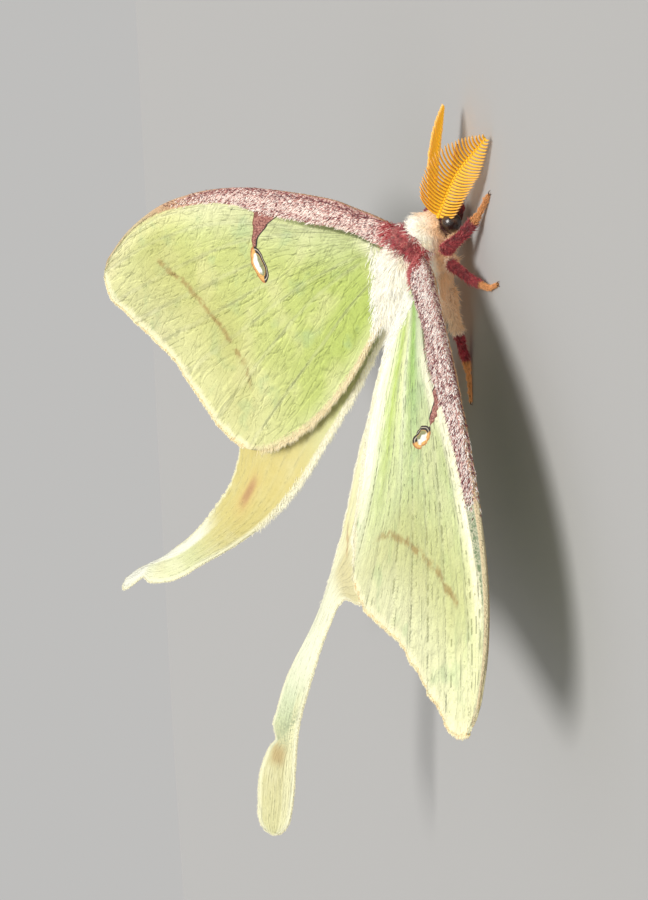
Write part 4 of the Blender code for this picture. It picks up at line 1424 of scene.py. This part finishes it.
# Down each wing: how far its inner and its outer edge lie from its line.
HIND_INNER = {
    "left": (
        (0, 1.5), (10, 3.5), (20, 5.2), (30, 5.1), (40, 4.2), (50, 3.3), (60, 2.6), (67, 2.8), (71, 2.3),
        (73.5, 1.1), (76.5, 2.8), (80, 2.4),
    ),
    "right": (
        (0, 1.5), (10, 3.5), (20, 5.2), (30, 5.1), (40, 4.2), (50, 3.2), (58, 2.5), (62, 2.5), (65, 2.5),
        (66.3, 1.7), (67.5, 2.3), (70, 2.9), (76, 2.7), (80, 2.1),
    ),
}
HIND_OUTER = {
    "left": (
        (0, 3.0), (10, 13.0), (20, 17.5), (30, 14.6), (35, 10.8), (40, 6.8), (45, 4.4), (50, 3.4), (60, 2.4),
        (68, 2.8), (76, 2.5), (80, 2.2),
    ),
    "right": (
        (0, 3.0), (10, 13.0), (20, 17.5), (28, 17.2), (34, 15.4), (37.5, 11.4), (40, 6.0), (42.5, 3.5),
        (46, 2.6), (52, 1.9), (60, 1.6), (68, 2.1), (76, 2.2), (80, 1.9),
    ),
}
# Where each wing's line runs, and its way across.
HIND_LINE = {
    "left": (
        (-2.5, (3.4, 1.4, 4.6)), (0, (5.0, 3.5, 5.6)), (10, (5.9, 11.9, 10.7)), (20, (6.3, 20.5, 15.8)),
        (40, (8.0, 38.6, 24.6)), (60, (15.2, 54.3, 34.6)), (80, (26.6, 67.3, 44.5)),
    ),
    "right": (
        (-2.5, (-3.4, 1.2, 4.8)), (0, (-5.0, 3.5, 5.4)), (10, (-4.9, 13.0, 8.3)), (20, (-5.4, 22.8, 10.9)),
        (40, (-8.3, 42.1, 15.8)), (60, (-12.1, 60.7, 22.2)), (80, (-18.6, 79.4, 25.5)),
    ),
}
HIND_ACROSS = {
    "left": (
        (-2.5, (0.7, -0.5, 0.5)), (0, (0.76, -0.42, 0.50)), (20, (0.85, -0.27, 0.46)),
        (40, (0.81, -0.42, 0.41)), (50, (0.69, -0.58, 0.43)), (60, (0.73, -0.65, 0.21)),
        (70, (0.82, -0.41, -0.40)), (80, (0.76, -0.25, -0.60)),
    ),
    "right": (
        (-2.5, (-1.0, -0.02, 0.04)), (0, (-1.0, -0.02, 0.04)), (20, (-0.99, -0.09, -0.06)),
        (40, (-0.99, -0.15, 0.02)), (50, (-0.98, -0.19, -0.05)), (60, (-0.76, -0.04, -0.66)),
        (70, (-0.52, -0.04, -0.85)), (80, (-0.42, -0.05, -0.91)),
    ),
}
# How far the two edges roll up from the line: inner edge, then outer edge.
HIND_ROLL = {
    "left": (
        (0, (0.0, 0.0)), (28, (0.2, 0.2)), (42, (0.8, 0.9)), (55, (0.9, 1.4)), (68, (0.6, 1.2)),
        (80, (0.2, 0.3)),
    ),
    "right": (
        (0, (0.0, 0.0)), (40, (0.3, 0.3)), (58, (0.5, 0.7)), (66, (0.9, 0.2)), (72, (0.3, 0.3)),
        (80, (0.1, 0.1)),
    ),
}


def hindwing(side_name):
    """A hindwing, the values kept at its points, and its ways down the wing and across it at each point."""
    at = HIND_START + (HIND_LENGTH - HIND_START) * np.linspace(0.0, 1.0, HIND_GRID[0])
    columns = HIND_GRID[1]
    line = flow(HIND_LINE[side_name], at)
    ahead = np.gradient(line, axis=0)
    across = unit(flow(HIND_ACROSS[side_name], at))
    normal = unit(np.cross(ahead, across)) * SIDES[side_name]
    narrow = blunt_end(at, HIND_LENGTH, 2.8)
    inner = -flow(HIND_INNER[side_name], at) * narrow
    ragged = (0.08 * np.sin(at * 2.9) + 0.07 * np.sin(at * 5.1 + 2.0)) * eased(at, 24, 28) * eased(at, 62, 50)
    outer = (flow(HIND_OUTER[side_name], at) + ragged) * narrow
    share = np.linspace(0.0, 1.0, columns)
    offset = inner[:, None] * (1 - share) + outer[:, None] * share
    gap = np.repeat((outer - inner)[:, None] / HIND_VEINS, columns, axis=1)
    vein = np.repeat(share[None] * HIND_VEINS, len(at), axis=0)
    down = np.repeat(at[:, None], columns, axis=1)
    roll_inner, roll_outer = (roll[:, None] for roll in flow(HIND_ROLL[side_name], at).T)
    fold = np.clip(1 - 2 * share, 0, 1) ** 2 * roll_inner + np.clip(2 * share - 1, 0, 1) ** 2 * roll_outer
    off = np.abs(vein - np.rint(vein)) * gap
    relief = fold + 0.07 * np.exp(-((off / 0.35) ** 2))
    relief = relief - 0.10 * np.sin(np.pi * vein) ** 2 * np.clip(gap / 2, 0, 1)
    relief = relief + 0.04 * np.sin(vein * 11 + down / 6) * eased(down, 5, 20)
    relief = relief + 0.16 * np.sin(down / 3.1 + 2 * share) * eased(down, 52, 64)
    middle = line[:, None, :] + offset[..., None] * across[:, None, :]
    middle = middle + relief[..., None] * normal[:, None, :]
    kept = {
        "down": down, "over": offset, "vein": vein, "gap": gap, "inner": offset - inner[:, None],
        "outer": outer[:, None] - offset, "shows": np.full_like(down, 0.8),
    }
    over_first = np.cross(ahead, across)[0] @ normal[0] > 0
    wing, kept = wing_sheet(f"hindwing_scaled_{side_name}", middle, WING_THICKNESS, over_first, kept)
    down_way, across_way = (np.tile(np.repeat(way, columns, axis=0), (2, 1)) for way in (unit(ahead), across))
    return wing, kept, down_way, across_way


# The ground colour down each wing, at shares of its length.
HIND_COLOURS = {
    "left": (
        (0.0, (0.80, 0.80, 0.60)), (0.12, (0.46, 0.52, 0.20)), (0.33, (0.50, 0.48, 0.20)),
        (0.45, (0.60, 0.44, 0.12)), (0.60, (0.58, 0.46, 0.12)), (0.74, (0.54, 0.56, 0.24)),
        (0.86, (0.74, 0.76, 0.48)), (1.0, (0.93, 0.92, 0.84)),
    ),
    "right": (
        (0.0, (0.88, 0.88, 0.72)), (0.2, (0.86, 0.87, 0.62)), (0.42, (0.74, 0.68, 0.34)),
        (0.54, (0.88, 0.87, 0.66)), (0.66, (0.84, 0.87, 0.70)), (0.78, (0.46, 0.56, 0.32)),
        (0.84, (0.54, 0.48, 0.23)), (1.0, (0.66, 0.62, 0.28)),
    ),
}
STREAK_BROWN = (0.40, 0.13, 0.01)
FOLD_SHADE_GREEN = (0.26, 0.32, 0.18)
FLECK_GREEN = (0.28, 0.34, 0.20)
LOBE_TAN = (0.42, 0.25, 0.07)
TAIL_WHITE = (0.97, 0.96, 0.88)
TAIL_CREAM = (0.86, 0.82, 0.50)
TAIL_EDGE = (0.92, 0.90, 0.68)
FAN_GOLD = (0.53, 0.42, 0.07)
FAN_ORANGE = (0.62, 0.34, 0.04)
FAN_SHADE_TAN = (0.52, 0.40, 0.13)
UNDER_LIME = (0.74, 0.78, 0.48)
HIND_EYESPOT = (19.0, 5.5, 2.1)  # down the wing, across it, and its radius
SPOT_YELLOW, SPOT_ROSE = (0.88, 0.60, 0.16), (0.70, 0.30, 0.34)
SPOT_OLIVE, SPOT_WHITE = (0.38, 0.36, 0.22), (0.95, 0.94, 0.90)


def left_layers(down, over, from_outer, rows):
    """Sunlit white along the tail's outer side and its tip, and a golden fan with a brown streak in it."""
    lit = (from_outer.rising(0.46, 0.34) * down.rising(48.0, 58.0)).at_least(down.rising(71.5, 74.0))
    from_streak = abs(over - 0.8 + (down - 42.0) * 0.2)
    halo = from_streak.rising(2.2, 0.2) * down.near(42.5, 6.0, 1.0)
    return (
        (down.near(68.0, 2.2, 0.4) * over.near(-0.6, 1.6, 0.4) * 0.15, LOBE_TAN),
        (lit * 0.85, TAIL_WHITE),
        (down.near(42.0, 18.0, 5.0) * (1.0 - lit) * (0.6 + rows * 0.4) * 0.8, FAN_GOLD),
        (halo * 0.5, FAN_ORANGE),
        (from_streak.rising(1.0, 0.2) * down.near(42.0, 3.8, 0.8), STREAK_BROWN),
    )


def right_layers(recipe, down, over, from_outer):
    """A cream edge on the tail, painted shade in the fold where it twists, and a fan painted darker as shade
    under the forewing, with a brown arc on it.
    """
    turn = down - 64.4 + over * 1.7
    # Painted shade in the fold where the tail twists.
    fold = turn.rising(-3.5, -0.2) * turn.rising(0.25, -0.1) * recipe.grain(0.4, 3.0).rising(0.25, 0.6)
    flecks = recipe.grain(0.28).rising(0.52, 0.62) * down.near(63.5, 4.5, 1.5)
    streak = abs(down - 35.0 - over * 0.5).rising(0.8, 0.2) * over.near(-0.4, 2.8, 1.4) * 0.6
    return (
        (down.near(68.0, 2.2, 0.4) * over.near(-0.6, 1.6, 0.4) * 0.9, LOBE_TAN),
        (from_outer.rising(0.34, 0.26) * down.rising(56.0, 62.0) * 0.8, TAIL_CREAM),
        (fold * 0.75, FOLD_SHADE_GREEN),
        (flecks * 0.75, FLECK_GREEN),
        # painted shade on the fan where the forewing covers it
        (down.near(38.0, 4.4, 1.0) * from_outer.rising(0.84, 0.66) * 0.6, FAN_SHADE_TAN),
        (streak, STREAK_BROWN),
    )


def hindwing_finish(side_name):
    material, recipe = new_material(f"hindwing_scales_{side_name}")
    down, over, vein, gap = recipe.kept_numbers("down", "over", "vein", "gap")
    inner, outer, shows, under = recipe.kept_numbers("inner", "outer", "shows", "under")
    fine = recipe.grain(0.12, 3.0)
    rows = scale_grain(recipe, vein * 0.5, down)
    ripples = scale_grain(recipe, vein * 0.6, down, 6.0)
    line, crease, ridge_and_highlight = vein_marks(recipe, vein, gap, shows, down, 0.52, 0.6)
    from_outer = outer / (outer + inner)
    if side_name == "left":
        own_layers = left_layers(down, over, from_outer, rows)
    else:
        own_layers = right_layers(recipe, down, over, from_outer)
    edged = (outer + recipe.grain(0.6) * 0.5 - 0.25).rising(0.3, 0.1)
    tone = recipe.node("ShaderNodeValToRGB", {"stops": HIND_COLOURS[side_name]}, {0: down / HIND_LENGTH})
    tone = recipe.blend(recipe.grain(4.0).rising(0.45, 0.7) * 0.3, tone, PALE)
    tone = recipe.layered(
        recipe.scaled(tone, 0.70 + rows * 0.25 + fine * 0.2 + ripples * 0.25),
        (recipe.grain(0.35).rising(0.68, 0.76) * 0.4, OLIVE),
        # the veins' ridges painted paler, a painted highlight
        (ridge_and_highlight * 0.2, PALE),
        (line * 0.3, OLIVE),
        *own_layers,
        (inner.at_most(outer).rising(0.8, 0.2) * 0.7, TAIL_EDGE),
        (edged * down.rising(24.0, 30.0) * down.rising(42.0, 38.0) * 0.5, RIM_BROWN),
    )
    a, b = down - HIND_EYESPOT[0], over - HIND_EYESPOT[1]
    ring = (a * a + b * b * 1.25) ** 0.5 / HIND_EYESPOT[2]
    inside, body_side = ring.rising(1.05, 0.98), a.rising(0.2, -0.2)
    tone = recipe.layered(
        tone,
        (inside, SPOT_YELLOW),
        (inside * ring.rising(0.66, 0.72) * body_side, EYESPOT_BLACK),
        (ring.near(0.86, 0.07, 0.02) * body_side, SPOT_ROSE),
        (ring.rising(0.62, 0.52), SPOT_OLIVE),
        (ring.rising(0.66, 0.56) * a.rising(-0.1, 0.2), SPOT_WHITE),
        (under * 0.25, UNDER_LIME),
    )
    height = fine * 0.10 + rows * 0.12 + ripples * 0.5 + recipe.grain(1.3, 4.0) * 0.7
    height = height + ridge_and_highlight * 0.3 - line * 0.2
    recipe.surface(tone, 0.7, Sheen_Weight=0.12, Normal=recipe.nap(1.0, 0.40, height))
    return material


tail_fur = plain_fur("tail_edge_scales", (0.88, 0.82, 0.54), (0.95, 0.93, 0.76))
FAN_HAIR = dict(Width=0.05, Rise=0.3, Droop=0.16)
FRINGE_HAIR = dict(Width=0.045, Rise=0.12, Droop=0.1, Frizz=0.06, Spread=0.4)
TAIL_SCALES = dict(Width=0.05, Rise=0.03, Spread=0.35)

for number, side_name in enumerate(SIDES):
    wing, kept, down_way, across_way = hindwing(side_name)
    wing.data.materials.append(hindwing_finish(side_name))
    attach(wing, "root")
    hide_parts(f"hindwing_{side_name}")
    down, inner, outer = kept["down"], kept["inner"], kept["outer"]
    outwards = np.where((outer < inner)[:, None], across_way, -across_way)
    on_edge = np.maximum(eased(outer, 0.25, 0.08), 0.7 * eased(inner, 0.25, 0.08)) * eased(down, 22, 28)
    rows = {
        "root": (
            eased(down, 6.0, 1.5), 2100, 3, root_fur, 1.9, down_way * 0.9 - across_way * 0.2, FAN_HAIR
        ),
        "fringe": (
            eased(inner, 0.6, 0.1) * eased(down, 48, 34), 4000, 2, hem_furs["right"], 0.9,
            down_way * 0.9 - across_way * 0.7, FRINGE_HAIR,
        ),
        "edge": (on_edge, 3400, 2, tail_fur, 0.26, down_way * 0.6 + outwards * 0.8, TAIL_SCALES),
    }
    wing_unwrap = np.stack([down / HIND_LENGTH, (kept["over"] + 6) / 25], axis=1)
    wing_coats(wing, "hindwing", side_name, wing_unwrap, 70 + 10 * number, rows)

for hair in blades.values():
    bpy.data.objects.remove(hair)
bpy.context.view_layer.update()
